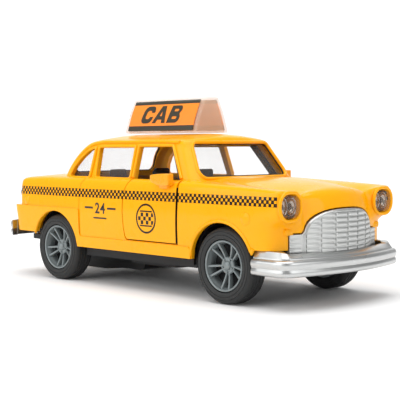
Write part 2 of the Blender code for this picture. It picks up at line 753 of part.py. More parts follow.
# ============================================================================================
# Front and rear trim
# ============================================================================================
def bumper_plan(front, half, wrap_x, depth, bow):
    """Plan of a wrap-round bumper as (x, y): bowed ahead, with round corners, and depth thick."""
    corner = min(5.0, front - bow - wrap_x)
    straight = half - corner

    def line(inset):
        made = [(front - inset - bow * (step / 5) ** 2, straight * step / 5) for step in range(6)]
        made += arc((front - bow - corner, straight), corner - inset, 22, 90, 3)
        return [*made, (wrap_x, half - inset)]

    outer, inner = line(0.0), line(depth)
    return (outer[::-1] + [(x, -y) for x, y in outer[1:]]
            + [(x, -y) for x, y in inner[::-1]] + inner[1:])


def build_bumpers():
    wrap_x = FRONT_AXLE_X + WHEEL_R + 0.6
    bumper = prism(bumper_plan(LENGTH / 2, BUMPER_HALF, wrap_x, 1.8, 3.0), "Z",
                   BUMPER_BOTTOM_Z, BUMPER_TOP_Z)
    groove = prism(bumper_plan(LENGTH / 2 + 1.0, BUMPER_HALF + 1.0, wrap_x - 2.0, 1.6, 3.0), "Z",
                   BUMPER_TOP_Z - 2.8, BUMPER_TOP_Z - 2.0)
    cut(bumper, groove, "bumper_groove")
    apron = prism(bumper_plan(LENGTH / 2 - 1.4, BUMPER_HALF - 1.2, wrap_x + 0.1, 1.2, 3.0), "Z",
                  BUMPER_TOP_Z - 1.2, GRILLE_BOTTOM_Z - GAP)
    join(bumper, apron, "bumper_apron")
    as_part(bumper, "front_bumper", CHROME)
    plan = bumper_plan(LENGTH / 2, BUMPER_HALF - 0.6, 2.4 - TAIL_X, REAR_BUMPER_DEPTH, 1.0)
    rear = prism([(-x, y) for x, y in plan], "Z", REAR_BUMPER_BOTTOM_Z, REAR_BUMPER_TOP_Z)
    as_part(bevelled(rear, 0.4), "rear_bumper", CHROME)


def build_grille():
    """An arched plate, bent to the plan of the nose."""
    plate = prism(grille_outline(0.0), "X", -GRILLE_THICK / 2, GRILLE_THICK / 2)
    bm = bmesh.new()
    bm.from_mesh(plate.data)
    for step in range(-5, 6):
        bmesh.ops.bisect_plane(bm, geom=bm.verts[:] + bm.edges[:] + bm.faces[:],
                               plane_co=(0, step * 3.3 * MM, 0), plane_no=(0, 1, 0))
    for vert in bm.verts:
        vert.co.x += (nose_x(vert.co.y / MM) + 0.2 - GRILLE_THICK / 2) * MM
    bm.to_mesh(plate.data)
    bm.free()
    as_part(plate, "grille", CHROME)


def build_lamps():
    for side, word in ((-1, "right"), (1, "left")):
        outline = rounded_rectangle((side * LAMP_Y, LAMP_Z), LENS_SIZE, 2.2)
        lens = prism(outline, "X", POD_FRONT_X - LENS_THICK, POD_FRONT_X + 0.3)
        as_part(lens, f"headlamp_lens_{word}", GLASS)
        reflector = prism(outline, "X", POD_FRONT_X - 3.0 + GAP, POD_FRONT_X - LENS_THICK - GAP)
        as_part(reflector, f"headlamp_reflector_{word}", CHROME)
        tail = rod(TAIL_LAMP_R, TAIL_X - 0.9, TAIL_X + 2.0, (side * TAIL_LAMP_Y, TAIL_LAMP_Z), "X")
        as_part(tail, f"tail_lamp_{word}", RED)


# ============================================================================================
# Chassis and interior
# ============================================================================================
def wheel_tunnel(axle_x, radius, floor_z, low, high):
    """A round-topped block over an axle, between two distances across the car."""
    outline = [(axle_x + radius, floor_z), *arc((axle_x, WHEEL_R), radius, 0, 180, 10),
               (axle_x - radius, floor_z)]
    return prism(outline, "Y", *sorted((low, high)))


def build_chassis():
    front_x, rear_x, step_x = NOSE_X - 8.5, TAIL_X + WALL + 1.2, REAR_AXLE_X - WELL_R - 0.4
    top_z = CHASSIS_Z + CHASSIS_THICK
    rear_top_z = CHASSIS_REAR_Z + CHASSIS_THICK
    half = CHASSIS_HALF - 3.2
    outline = ((step_x, -half - 0.5), (front_x, -half), (front_x, half), (step_x, half + 0.5))
    chassis = prism(rounded(outline, 2.0), "Z", CHASSIS_Z, top_z)
    join(chassis, box((step_x - 0.7, -half, CHASSIS_Z + 0.1), (step_x + 0.7, half, rear_top_z - 0.1)),
         "rear_step")
    half += 1.5
    outline = ((rear_x, -half), (step_x, -half - 0.3), (step_x, half + 0.3), (rear_x, half))
    join(chassis, prism(rounded(outline, 2.0), "Z", CHASSIS_REAR_Z, rear_top_z), "rear_plate")
    for side in (-1, 1):
        low, high = sorted((side * 10.0, side * 14.0))
        tongue = box((REAR_BUMPER_DEPTH + 1.6 - LENGTH / 2, low, CHASSIS_REAR_Z + 0.3),
                     (rear_x + 3.0, high, rear_top_z + 0.6))
        join(chassis, tongue, "bumper_tongue")
    sill_low, sill_high = REAR_AXLE_X + WELL_R, FRONT_AXLE_X - WELL_R
    join(chassis, box((sill_low, -CHASSIS_HALF, CHASSIS_Z + 0.2),
                      (sill_high, CHASSIS_HALF, ROCKER_Z + 1.2)), "sill_block")
    cut(chassis, box((sill_low - 5, -CHASSIS_HALF + 1.4, top_z - 0.1),
                     (sill_high + 5, CHASSIS_HALF - 1.4, 20.0)), "sill_hollow")
    for axle_x in (FRONT_AXLE_X, REAR_AXLE_X):
        for side in (-1, 1):
            well = wheel_tunnel(axle_x, WELL_R + WELL_WALL, CHASSIS_Z + 0.4,
                                side * WELL_INNER_Y, side * (CHASSIS_HALF - 0.1))
            join(chassis, well, "wheel_well")
            room = wheel_tunnel(axle_x, WELL_R, -2.0, side * (WELL_INNER_Y + WELL_WALL),
                                side * (HALF + 5))
            cut(chassis, room, "wheel_room")
    belly = rounded(from_cabin(((-14.0, -14.0), (10.0, -14.0), (10.0, 14.0), (-14.0, 14.0))), 4.0)
    join(chassis, prism(belly, "Z", BELLY_Z, CHASSIS_Z + 0.4), "belly_box")
    for side in (-1, 1):
        low, high = sorted((side * (WELL_INNER_Y - 4.8), side * (WELL_INNER_Y - 1.8)))
        block = box((FRONT_AXLE_X - 3.2, low, CHASSIS_Z + 0.5),
                    (FRONT_AXLE_X + 3.2, high, WHEEL_R + 2.8))
        join(chassis, block, "front_axle_bearing")
        x, y = hinge_axis(side)
        low, high = sorted((y + side * 0.3, y - side * 2.8))
        join(chassis, box((x - 1.6, low, top_z - 0.5), (x + 1.6, high, HINGE_LOW_Z + 0.1)),
             "hinge_post")
        hole = rod(HINGE_PIN_R + HINGE_FIT, HINGE_LOW_Z - 2.6, HINGE_LOW_Z + 3, (x, y), "Z", 12)
        cut(chassis, hole, "hinge_post_hole")
    for axle_x in (FRONT_AXLE_X, REAR_AXLE_X):
        cut(chassis, rod(AXLE_R + AXLE_FIT, -HALF - 5, HALF + 5, (axle_x, WHEEL_R), sides=12),
            "axle_hole")
    low, high = motor_bounds()
    cut(chassis, box((low[0] - GAP, low[1] - GAP, 0), (high[0] + GAP, high[1] + GAP, 30)),
        "motor_opening")
    for _, screw_x, _ in SCREWS:
        cut(chassis, rod(SCREW_R + 0.3, 0, 20, (screw_x, 0), "Z", 12), "screw_hole")
    as_part(chassis, "chassis", BLACK)


SEAT_HALF = 6.6
SEAT_Y = 9.6
HEADREST_TOP = 36.0
FLOOR_Z = 13.2
FLOOR_HALF = CABIN_HALF - 3.1
FLOOR_FRONT_X = DOOR_FRONT_X - 1.0


def build_interior():
    """Seats, dashboard and floor in one moulding. The rear bench stands over the motor."""
    (_, _, _), (motor_front, _, motor_top) = motor_bounds()
    rear = motor_front + 0.5
    bench_z = motor_top + 0.4
    tub = box((rear, -FLOOR_HALF, FLOOR_Z), (FLOOR_FRONT_X, FLOOR_HALF, FLOOR_Z + 1.2))
    for side in (-1, 1):
        low, high = sorted((side * (FLOOR_HALF - 1.2), side * FLOOR_HALF))
        join(tub, box((rear + 0.1, low, FLOOR_Z + 0.4), (FLOOR_FRONT_X - 0.1, high, 19.0)),
             "tub_wall")
        x = CABIN_X - 2.0
        seat = [(x, FLOOR_Z + 0.5), (x + 11.5, FLOOR_Z + 0.5), (x + 12.0, 20.4), (x + 11.0, 21.6),
                (x + 3.4, 20.8), (x + 0.9, 31.5), (x - 1.5, 31.9), (x - 1.2, 21.0)]
        centre = side * SEAT_Y
        join(tub, prism(seat, "Y", centre - SEAT_HALF, centre + SEAT_HALF), "front_seat")
        join(tub, box((x - 1.3, centre - 3.0, 30.4), (x + 0.5, centre + 3.0, HEADREST_TOP)),
             "front_headrest")
    bench = [(CABIN_X - 27.5, bench_z), (rear + 0.2, bench_z), (rear + 0.2, FLOOR_Z + 0.6),
             (rear + 1.2, FLOOR_Z + 0.6), (rear + 1.2, bench_z + 2.2),
             (CABIN_X - 21.0, bench_z + 1.6),
             (CABIN_X - 23.6, 32.4), (CABIN_X - 26.8, 32.6)]
    join(tub, prism(bench, "Y", -15.2, 15.2), "rear_bench")
    for side in (-1, 1):
        centre = side * SEAT_Y
        join(tub, box((CABIN_X - 26.3, centre - 3.0, 31.0),
                      (CABIN_X - 24.4, centre + 3.0, HEADREST_TOP)),
             "rear_headrest")
    x = FLOOR_FRONT_X
    dash = [(x - 3.6, FLOOR_Z + 0.6), (x - 0.2, FLOOR_Z + 0.6), (x + 1.0, 30.6), (x - 2.4, 31.2),
            (x - 5.0, 28.8), (x - 4.2, 26.0), (x - 2.0, 24.6)]
    join(tub, prism(dash, "Y", -17.2, 17.2), "dashboard")
    as_part(tub, "interior_tub", BLACK)


def build_steering_wheel():
    wheel = rod(3.4, -0.45, 0.45, (0, 0), "Z")
    for turn in (90, 210, 330):
        at = (1.75 * math.cos(math.radians(turn)), 1.75 * math.sin(math.radians(turn)))
        cut(wheel, rod(0.95, -3, 3, at, "Z", 8), "wheel_gap")
    wheel = fixed(wheel)
    centre = Vector((DOOR_FRONT_X - 8.4, SEAT_Y, 28.2)) * MM
    wheel.data.transform(Matrix.Translation(centre) @ Matrix.Rotation(math.radians(-62), 4, "Y"))
    as_part(wheel, "steering_wheel", BLACK)


def build_screws():
    for word, screw_x, plate_z in SCREWS:
        screw = rod(SCREW_HEAD_R, plate_z - 1.1, plate_z - 0.1, (screw_x, 0), "Z", 14)
        shank = rod(SCREW_R, plate_z - 0.6, plate_z + SCREW_LENGTH, (screw_x, 0), "Z", 12)
        join(screw, shank, "screw_shank")
        slot = box((screw_x - 1.4, -0.25, plate_z - 2), (screw_x + 1.4, 0.25, plate_z - 0.7))
        cut(screw, slot, "screw_slot")
        as_part(screw, f"chassis_screw_{word}", STEEL)


# ============================================================================================
# Wheels and axles
# ============================================================================================
def spoke_outline():
    """A star of paired spokes about the wheel's axis, whose tips lie inside the rim's barrel."""
    angles = sorted(math.tau * n / SPOKE_PAIRS + turn * SPOKE_SPREAD
                    for n in range(SPOKE_PAIRS) for turn in (-1, 1))
    tip, root, half = RIM_R - 0.45, 2.0, 0.45 / RIM_R
    points = []
    for here, after in zip(angles, angles[1:] + [angles[0] + math.tau]):
        points.append(polar((0, 0), tip, here - half))
        points.append(polar((0, 0), tip, here + half))
        points.append(polar((0, 0), root, (here + after) / 2))
    return points


def left_tyre():
    """A tyre about the Y axis, with its outer face towards +Y."""
    half = TYRE_WIDTH / 2
    bore = RIM_R + RIM_FIT
    profile = [(WHEEL_R - 0.9, half - 0.2), (WHEEL_R - 0.1, half - 1.0), (WHEEL_R, 0.0),
               (WHEEL_R - 0.1, 1.0 - half), (WHEEL_R - 0.9, 0.2 - half), (bore + 0.5, -half),
               (bore, 0.5 - half), (bore, half - 0.5), (bore + 0.5, half)]
    return turned(profile, (0, 0, 0), sides=24)


def left_rim():
    """A rim about the Y axis: a barrel, its spokes and a hub that takes the axle."""
    half = RIM_WIDTH / 2
    face = half - RIM_DISH
    rim = turned([(RIM_R, half), (RIM_R, -half), (RIM_R - 0.9, -half), (RIM_R - 0.9, half)],
                 (0, 0, 0), sides=20)
    join(rim, prism(spoke_outline(), "Y", face - 1.3, face), "rim_spokes")
    join(rim, rod(2.2, -half, face + 0.5, (0, 0), sides=12), "rim_hub")
    cut(rim, rod(AXLE_R + 0.08, -half - 3, face - 0.6, (0, 0), sides=12), "rim_axle_hole")
    return fixed(rim)


def build_wheels():
    middle = TYRE_FACE_Y - TYRE_WIDTH / 2
    for source, word, material in ((left_tyre(), "tyre", RUBBER), (left_rim(), "rim", GREY)):
        for axle_x, end in ((FRONT_AXLE_X, "front"), (REAR_AXLE_X, "rear")):
            for side, hand in ((-1, "right"), (1, "left")):
                mesh = source.data.copy()
                turn = Matrix.Rotation(math.pi if side < 0 else 0, 4, "Z")
                place = Matrix.Translation(Vector((axle_x, side * middle, WHEEL_R)) * MM)
                mesh.transform(place @ turn)
                wheel = bpy.data.objects.new("wheel", mesh)
                as_part(wheel, f"{word}_{end}_{hand}", material, (axle_x, 0, WHEEL_R))
        bpy.data.objects.remove(source, do_unlink=True)


def build_axles():
    end = TYRE_FACE_Y - TYRE_WIDTH / 2 + RIM_WIDTH / 2 - RIM_DISH - 1.0
    for axle_x, word in ((FRONT_AXLE_X, "front"), (REAR_AXLE_X, "rear")):
        axle = rod(AXLE_R, -end, end, (axle_x, WHEEL_R), sides=12)
        as_part(axle, f"{word}_axle", STEEL, (axle_x, 0, WHEEL_R))


# ============================================================================================
# Friction motor
# ============================================================================================
def pitch_radius(teeth):
    return MODULE * teeth / 2


def polar(centre, distance, angle):
    return centre[0] + distance * math.cos(angle), centre[1] + distance * math.sin(angle)


AXLE_AT = (REAR_AXLE_X, WHEEL_R)
IDLER_AT = polar(AXLE_AT, pitch_radius(AXLE_TEETH) + pitch_radius(PINION_TEETH), IDLER_RISE)
FLYWHEEL_AT = polar(IDLER_AT, pitch_radius(IDLER_TEETH) + pitch_radius(PINION_TEETH),
                    FLYWHEEL_DROP)
FIRST_MESH_Y = -4.6         # lower side of the first pair of gears
SECOND_MESH_Y = FIRST_MESH_Y + GEAR_WIDTH + GEAR_CLEAR
FLYWHEEL_Y = SECOND_MESH_Y + GEAR_WIDTH + GEAR_CLEAR


def motor_bounds():
    """Outer box of the motor's case."""
    around = MODULE * ADDENDUM + CASE_ROOM + CASE_WALL
    reach = pitch_radius(AXLE_TEETH) + around
    front = FLYWHEEL_AT[0] + FLYWHEEL_R + CASE_ROOM + CASE_WALL
    return ((AXLE_AT[0] - reach, -CASE_HALF_Y, WHEEL_R - reach),
            (front, CASE_HALF_Y, IDLER_AT[1] + pitch_radius(IDLER_TEETH) + around))


def involute(angle):
    return math.tan(angle) - angle


def gear_outline(teeth, centre, tooth_at):
    """Outline of a spur gear with a tooth centred on the direction tooth_at."""
    pitch = pitch_radius(teeth)
    base = pitch * math.cos(PRESSURE_ANGLE)
    tip, root = pitch + ADDENDUM * MODULE, pitch - DEDENDUM * MODULE
    at_pitch = math.pi / (2 * teeth) - BACKLASH / 2 / pitch

    def half_angle(radius):
        if radius <= base:
            return at_pitch + involute(PRESSURE_ANGLE)
        return at_pitch + involute(PRESSURE_ANGLE) - involute(math.acos(base / radius))

    flank = [(radius, half_angle(radius)) for radius in (root, pitch, tip)]
    points = []
    for n in range(teeth):
        middle = tooth_at + math.tau * n / teeth
        points += [polar(centre, radius, middle - half) for radius, half in flank]
        points += [polar(centre, radius, middle + half) for radius, half in reversed(flank)]
    return points


def build_gear(name, teeth, centre, tooth_at, y, bore):
    hole = arc(centre, bore, 0, 330, 11)
    gear = prism([gear_outline(teeth, centre, tooth_at), hole], "Y", y, y + GEAR_WIDTH)
    as_part(gear, name, NYLON, (centre[0], 0, centre[1]))


def build_gears():
    """Two pairs in mesh: where one has a tooth on the line of centres, the other has a space."""
    half_space = math.pi / PINION_TEETH
    build_gear("axle_gear", AXLE_TEETH, AXLE_AT, IDLER_RISE, FIRST_MESH_Y, AXLE_R + 0.08)
    build_gear("idler_pinion", PINION_TEETH, IDLER_AT, IDLER_RISE + math.pi + half_space,
               FIRST_MESH_Y, SHAFT_R + 0.08)
    build_gear("idler_gear", IDLER_TEETH, IDLER_AT, FLYWHEEL_DROP, SECOND_MESH_Y, SHAFT_R + 0.08)
    build_gear("flywheel_pinion", PINION_TEETH, FLYWHEEL_AT, FLYWHEEL_DROP + math.pi + half_space,
               SECOND_MESH_Y, SHAFT_R + 0.08)
    shaft_end = CASE_HALF_Y - 0.3
    for name, at in (("idler_shaft", IDLER_AT), ("flywheel_shaft", FLYWHEEL_AT)):
        as_part(rod(SHAFT_R, -shaft_end, shaft_end, at, sides=12), name, STEEL, (at[0], 0, at[1]))
    rim = arc(FLYWHEEL_AT, FLYWHEEL_R, 0, 348, 29)
    wheel = prism([rim, arc(FLYWHEEL_AT, SHAFT_R + 0.08, 0, 330, 11)], "Y",
                  FLYWHEEL_Y, FLYWHEEL_Y + FLYWHEEL_WIDTH)
    as_part(wheel, "flywheel", STEEL, (FLYWHEEL_AT[0], 0, FLYWHEEL_AT[1]))


def case_outline(inset):
    """Side view of the motor's case: low over the axle's rear, high over the idler."""
    (x0, _, z0), (x1, _, z1) = motor_bounds()
    x0, z0, x1, z1 = x0 + inset, z0 + inset, x1 - inset, z1 - inset
    low_front = FLYWHEEL_AT[1] - FLYWHEEL_R - CASE_ROOM - CASE_WALL + inset
    return rounded(((x0, z0), (AXLE_AT[0] + 5.0, z0), (FLYWHEEL_AT[0] - 3.0, low_front),
                    (x1, low_front), (x1, z1 - 3.5), (x1 - 6.0, z1), (IDLER_AT[0] - 4.0, z1),
                    (x0, WHEEL_R + 5.0)), 2.6 - inset, 2)


def build_motor_case():
    for side, word in ((-1, "right"), (1, "left")):
        outer = side * CASE_HALF_Y
        half = prism(case_outline(0.0), "Y", *sorted((outer, side * 0.1)))
        room = prism(case_outline(CASE_WALL), "Y", *sorted((outer - side * CASE_WALL, -side * 3)))
        cut(half, room, "case_room")
        cut(half, rod(AXLE_R + AXLE_FIT, -12, 12, AXLE_AT, sides=12), "case_axle_hole")
        for at in (IDLER_AT, FLYWHEEL_AT):
            cut(half, rod(SHAFT_R + SHAFT_FIT, -12, 12, at, sides=12), "case_shaft_hole")
        as_part(half, f"motor_case_{word}", NYLON)


# ============================================================================================
# Roof sign
# ============================================================================================
def sign_half(z):
    """Half-width of the sign at a height above its base. Its sides bow out a little."""
    t = max(0.0, min(1.0, z / SIGN_HEIGHT))
    straight = SIGN_BASE_HALF + (SIGN_TOP_HALF - SIGN_BASE_HALF) * t
    return straight + 0.45 * 4 * t * (1 - t)


def sign_section(inset, low, high, base_z):
    heights = [low + (high - low) * n / 5 for n in range(6)]
    right = [(sign_half(z) - inset, base_z + z) for z in heights]
    return right + [(-y, z) for y, z in reversed(right)]


def build_sign():
    base_z = ROOF_EDGE_Z + ROOF_CROWN + 0.15
    front_x = SIGN_REAR_X + SIGN_LENGTH
    housing = prism(sign_section(0, 0, SIGN_HEIGHT, base_z), "X", SIGN_REAR_X, front_x)
    room = prism(sign_section(SIGN_WALL, -1.0, SIGN_HEIGHT - SIGN_WALL, base_z), "X",
                 SIGN_REAR_X + SIGN_WALL, front_x - SIGN_WALL)
    cut(housing, room, "sign_room")
    as_part(housing, "sign_housing", GLASS)
    heights = [0.7 + (SIGN_HEIGHT - 1.5) * n / 4 for n in range(5)]
    for side, word in ((-1, "right"), (1, "left")):
        outer = [(side * (sign_half(z) + 0.15 + LABEL_THICK), base_z + z) for z in heights]
        inner = [(side * (sign_half(z) + 0.15), base_z + z) for z in reversed(heights)]
        label = prism(outer + inner, "X", SIGN_REAR_X + 1.6, front_x - 1.6)
        as_part(label, f"sign_label_{word}", ORANGE)


# ============================================================================================
# The car
# ============================================================================================
build_body()
build_doors()
build_mirrors()
build_glazing()
build_bumpers()
build_grille()
build_lamps()
build_chassis()
build_interior()
build_steering_wheel()
build_screws()
build_wheels()
build_axles()
build_gears()
build_motor_case()
build_sign()
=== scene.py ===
"""A friction toy cab with opening front doors: its painted shell, trim, wheels, seats and sign,
modelled over the fixed frame, on a pale studio floor."""

import math

import bmesh
import bpy
from mathutils import Matrix, Vector
from mathutils.bvhtree import BVHTree


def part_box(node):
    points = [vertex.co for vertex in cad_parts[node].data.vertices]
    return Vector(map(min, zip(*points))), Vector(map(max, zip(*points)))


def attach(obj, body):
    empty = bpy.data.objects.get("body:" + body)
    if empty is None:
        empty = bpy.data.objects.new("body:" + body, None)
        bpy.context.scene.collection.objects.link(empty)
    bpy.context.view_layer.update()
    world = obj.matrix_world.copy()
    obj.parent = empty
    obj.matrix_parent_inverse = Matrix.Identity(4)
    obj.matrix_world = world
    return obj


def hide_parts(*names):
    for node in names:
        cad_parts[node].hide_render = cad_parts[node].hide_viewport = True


bl_info = {
    "name": "Friction Cab",
    "version": (1, 0, 0),
    "blender": (4, 5, 0),
    "location": "View3D > Sidebar > Friction Cab",
    "description": "Builds a friction toy cab over its frame, with doors that open",
    "category": "Add Mesh",
}

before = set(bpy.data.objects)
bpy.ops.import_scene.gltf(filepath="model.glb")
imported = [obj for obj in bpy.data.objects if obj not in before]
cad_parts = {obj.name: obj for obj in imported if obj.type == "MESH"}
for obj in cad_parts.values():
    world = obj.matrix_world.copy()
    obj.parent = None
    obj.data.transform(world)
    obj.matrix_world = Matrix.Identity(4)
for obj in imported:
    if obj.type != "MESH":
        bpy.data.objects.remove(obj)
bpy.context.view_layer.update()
MM = 0.001


def node_box(name):
    """Lowest and highest corners of a frame node, in millimetres."""
    low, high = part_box(name)
    return low / MM, high / MM


# Sizes are in millimetres. +X is forward, +Y is the car's left, and the ground is at zero.
WHEEL_LOW, WHEEL_HIGH = node_box("tyre_front_left")
REAR_LOW, REAR_HIGH = node_box("tyre_rear_left")
SIGN_LOW, SIGN_HIGH = node_box("sign_housing")
FRONT_AXLE_X = (WHEEL_LOW.x + WHEEL_HIGH.x) / 2
REAR_AXLE_X = (REAR_LOW.x + REAR_HIGH.x) / 2
WHEEL_R = (WHEEL_HIGH.z - WHEEL_LOW.z) / 2
TYRE_MIDDLE_Y = 21.3        # middle of each tyre's width
ARCH_R = 12.0               # wheel arch, from the axle
BELT_Z = 33.6               # where the windows start
SILL_Z = 11.6               # lower edge of the body between the wheels
HALF = 25.0                 # half the body's width
WALL = 1.2                  # thickness of the casting
PRINT_Y = 22.6              # nothing is printed nearer to the middle than this
CHECKS_Z = 27.45            # foot of the printed band
CHECKS_REAR_X, CHECKS_FRONT_X = -59.4, 59.0
CHECK_ROWS = 3
CHECK_HALF = 0.57           # half a check's side, in checks: the ink spreads a little
ROUNDEL_X, ROUNDEL_Z = 7.9, 22.1
ROUNDEL_R = 3.45            # within its ring
ROUNDEL_CHECK = 1.15
LAMP_Y, LAMP_Z = 20.2, 27.4
TAIL_LAMP_Y, TAIL_LAMP_Z = 20.0, 27.6
AWAY = 45.0                 # far enough out to be clear of the car
BEAD_STEP = 0.9             # between the points of a bead


# ============================================================================================
# Settings
# ============================================================================================
class CabPaint(bpy.types.PropertyGroup):
    yellow: bpy.props.FloatVectorProperty(
        name="Enamel", description="Colour of the body's enamel", subtype="COLOR", size=3,
        min=0, max=1, default=(1.0, 0.42, 0.003))
    ink: bpy.props.FloatVectorProperty(
        name="Print", description="Colour of the printed checks and numbers", subtype="COLOR",
        size=3, min=0, max=1, default=(0.018, 0.014, 0.012))
    label: bpy.props.FloatVectorProperty(
        name="Sign label", description="Colour of the sign's labels", subtype="COLOR", size=3,
        min=0, max=1, default=(1.0, 0.27, 0.01))
    rim: bpy.props.FloatVectorProperty(
        name="Rims", description="Colour of the wheel rims", subtype="COLOR", size=3,
        min=0, max=1, default=(0.22, 0.25, 0.255))
    check_size: bpy.props.FloatProperty(
        name="Check", description="Side of one printed check", unit="LENGTH", min=0.0003,
        max=0.003, default=0.00088)


class CabSizes(bpy.types.PropertyGroup):
    bead: bpy.props.FloatProperty(
        name="Window bead", description="Radius of the raised beads round the windows",
        unit="LENGTH", min=0.0002, max=0.001, default=0.00052)
    lip: bpy.props.FloatProperty(
        name="Arch lip", description="Radius of the rolled lip round each wheel arch",
        unit="LENGTH", min=0.0002, max=0.001, default=0.00055)
    seam: bpy.props.FloatProperty(
        name="Seam", description="Width of the shut lines cut in the body", unit="LENGTH",
        min=0.0001, max=0.0008, default=0.00034)
    smoothing: bpy.props.IntProperty(
        name="Smoothing", description="Subdivision levels of the body's cage", min=1, max=3,
        default=2)


# ============================================================================================
# Modelling by hand
# ============================================================================================
def object_mode():
    if bpy.context.mode != "OBJECT":
        bpy.ops.object.mode_set(mode="OBJECT")


def pick(obj):
    """Makes this the one selected object."""
    object_mode()
    bpy.ops.object.select_all(action="DESELECT")
    obj.select_set(True)
    bpy.context.view_layer.objects.active = obj
    return obj


def edit(obj):
    """Opens an object in edit mode with everything selected."""
    pick(obj)
    bpy.ops.object.mode_set(mode="EDIT")
    bpy.ops.mesh.select_all(action="SELECT")


def started(name):
    obj = bpy.context.object
    obj.name = name
    obj.data.name = name
    return obj


def fresh(name, add, **values):
    """A new object, added with nothing else selected."""
    object_mode()
    bpy.ops.object.select_all(action="DESELECT")
    add(**values)
    return started(name)


def settled(obj):
    """Puts an object's place into its points and turns its faces outwards."""
    pick(obj)
    bpy.ops.object.transform_apply(location=True, rotation=True, scale=True)
    edit(obj)
    bpy.ops.mesh.remove_doubles(threshold=2e-6)
    bpy.ops.mesh.normals_make_consistent(inside=False)
    object_mode()
    return obj


def apply_modifier(obj, kind, **values):
    pick(obj)
    modifier = obj.modifiers.new(kind.title(), kind)
    for key, value in values.items():
        setattr(modifier, key, value)
    bpy.ops.object.modifier_apply(modifier=modifier.name)
    return obj


def smoothed(obj, levels):
    return apply_modifier(obj, "SUBSURF", levels=levels, render_levels=levels)


def bevelled(obj, width, segments=2, angle=35):
    return apply_modifier(obj, "BEVEL", width=width * MM, segments=segments,
                          limit_method="ANGLE", angle_limit=math.radians(angle))


def combine(obj, other, operation):
    """A Boolean between two closed shapes. The second one is used up."""
    before = len(obj.data.vertices)
    name = other.name
    apply_modifier(obj, "BOOLEAN", operation=operation, object=other, solver="MANIFOLD")
    after = len(obj.data.vertices)
    if after == 0 or (after == before and operation == "UNION"):
        raise RuntimeError(f"{obj.name}: the Boolean with {name} gave nothing")
    bpy.data.objects.remove(other)
    return obj


def cut(obj, *others):
    for other in others:
        combine(obj, other, "DIFFERENCE")
    return obj


def union(obj, *others):
    for other in others:
        combine(obj, other, "UNION")
    return obj


def keep_inside(obj, other):
    return combine(obj, other, "INTERSECT")


def copied(obj, name, move=None):
    """A copy with its own mesh."""
    other = obj.copy()
    other.data = obj.data.copy()
    other.name = name
    bpy.context.scene.collection.objects.link(other)
    if move is not None:
        other.data.transform(move)
    return other


def mirrored(obj, name):
    other = copied(obj, name, Matrix.Scale(-1, 4, (0, 1, 0)))
    return settled(other)


def gathered(objects, name):
    """Several objects made one."""
    pick(objects[0])
    for obj in objects[1:]:
        obj.select_set(True)
    bpy.ops.object.join()
    return started(name)


def shaded(obj, angle=30):
    pick(obj)
    bpy.ops.object.shade_smooth_by_angle(angle=math.radians(angle))
    return obj


def fattened(obj, distance):
    """Moves every face out along its normal, or in if the distance is negative."""
    edit(obj)
    bpy.ops.transform.shrink_fatten(value=distance * MM)
    object_mode()
    return obj


PLANES = {
    "X": lambda u, v, w: (w, u, v),
    "Y": lambda u, v, w: (u, w, v),
    "Z": lambda u, v, w: (u, v, w),
}
DIRECTIONS = {"X": Vector((1, 0, 0)), "Y": Vector((0, 1, 0)), "Z": Vector((0, 0, 1))}


def slab(name, outline, axis, low, high):
    """A flat outline, pulled straight through along an axis."""
    obj = fresh(name, bpy.ops.mesh.primitive_circle_add, vertices=len(outline), radius=0.01,
                fill_type="NGON")
    for vert, (u, v) in zip(obj.data.vertices, outline):
        vert.co = Vector(PLANES[axis](u, v, low)) * MM
    edit(obj)
    bpy.ops.mesh.extrude_region_move(
        TRANSFORM_OT_translate={"value": DIRECTIONS[axis] * (high - low) * MM})
    object_mode()
    return settled(obj)


def block(name, low, high):
    """A box between two corners. Only ever a cutter, or the start of a shape."""
    obj = fresh(name, bpy.ops.mesh.primitive_cube_add, size=1)
    for vert in obj.data.vertices:
        vert.co = Vector([(a + b) / 2 + c * (b - a) for a, b, c in zip(low, high, vert.co)]) * MM
    return settled(obj)


def sheet(name, columns, rows, place):
    """A grid whose points go where place(column, row) says."""
    obj = fresh(name, bpy.ops.mesh.primitive_grid_add, x_subdivisions=columns,
                y_subdivisions=rows, size=2)
    for vert in obj.data.vertices:
        column = round((vert.co.x + 1) / 2 * columns)
        row = round((vert.co.y + 1) / 2 * rows)
        vert.co = Vector(place(column, row)) * MM
    return obj


def skinned(name, rings, closed=False):
    """A solid skinned over equal rings of points, with its ends filled unless it runs round."""
    rings = [*rings, rings[0]] if closed else rings
    around = len(rings[0])
    obj = sheet(name, around, len(rings) - 1, lambda i, j: rings[j][i % around])
    edit(obj)
    bpy.ops.mesh.remove_doubles(threshold=1e-6)
    if not closed:
        bpy.ops.mesh.fill_holes(sides=0)
    bpy.ops.mesh.select_all(action="SELECT")
    bpy.ops.mesh.normals_make_consistent(inside=False)
    object_mode()
    return obj


def turned(name, profile, at, axis="Y", steps=64):
    """A closed profile of (radius, along) points, spun round an axis through a point."""
    obj = fresh(name, bpy.ops.mesh.primitive_circle_add, vertices=len(profile), radius=0.01,
                fill_type="NOTHING")
    out = {"X": Vector((0, 0, 1)), "Y": Vector((1, 0, 0)), "Z": Vector((1, 0, 0))}[axis]
    for vert, (radius, along) in zip(obj.data.vertices, profile):
        vert.co = (Vector(at) + out * radius + DIRECTIONS[axis] * along) * MM
    edit(obj)
    bpy.ops.mesh.spin(steps=steps, angle=math.tau, center=Vector(at) * MM, axis=DIRECTIONS[axis])
    bpy.ops.mesh.select_all(action="SELECT")
    bpy.ops.mesh.remove_doubles(threshold=1e-6)
    bpy.ops.mesh.normals_make_consistent(inside=False)
    object_mode()
    return obj


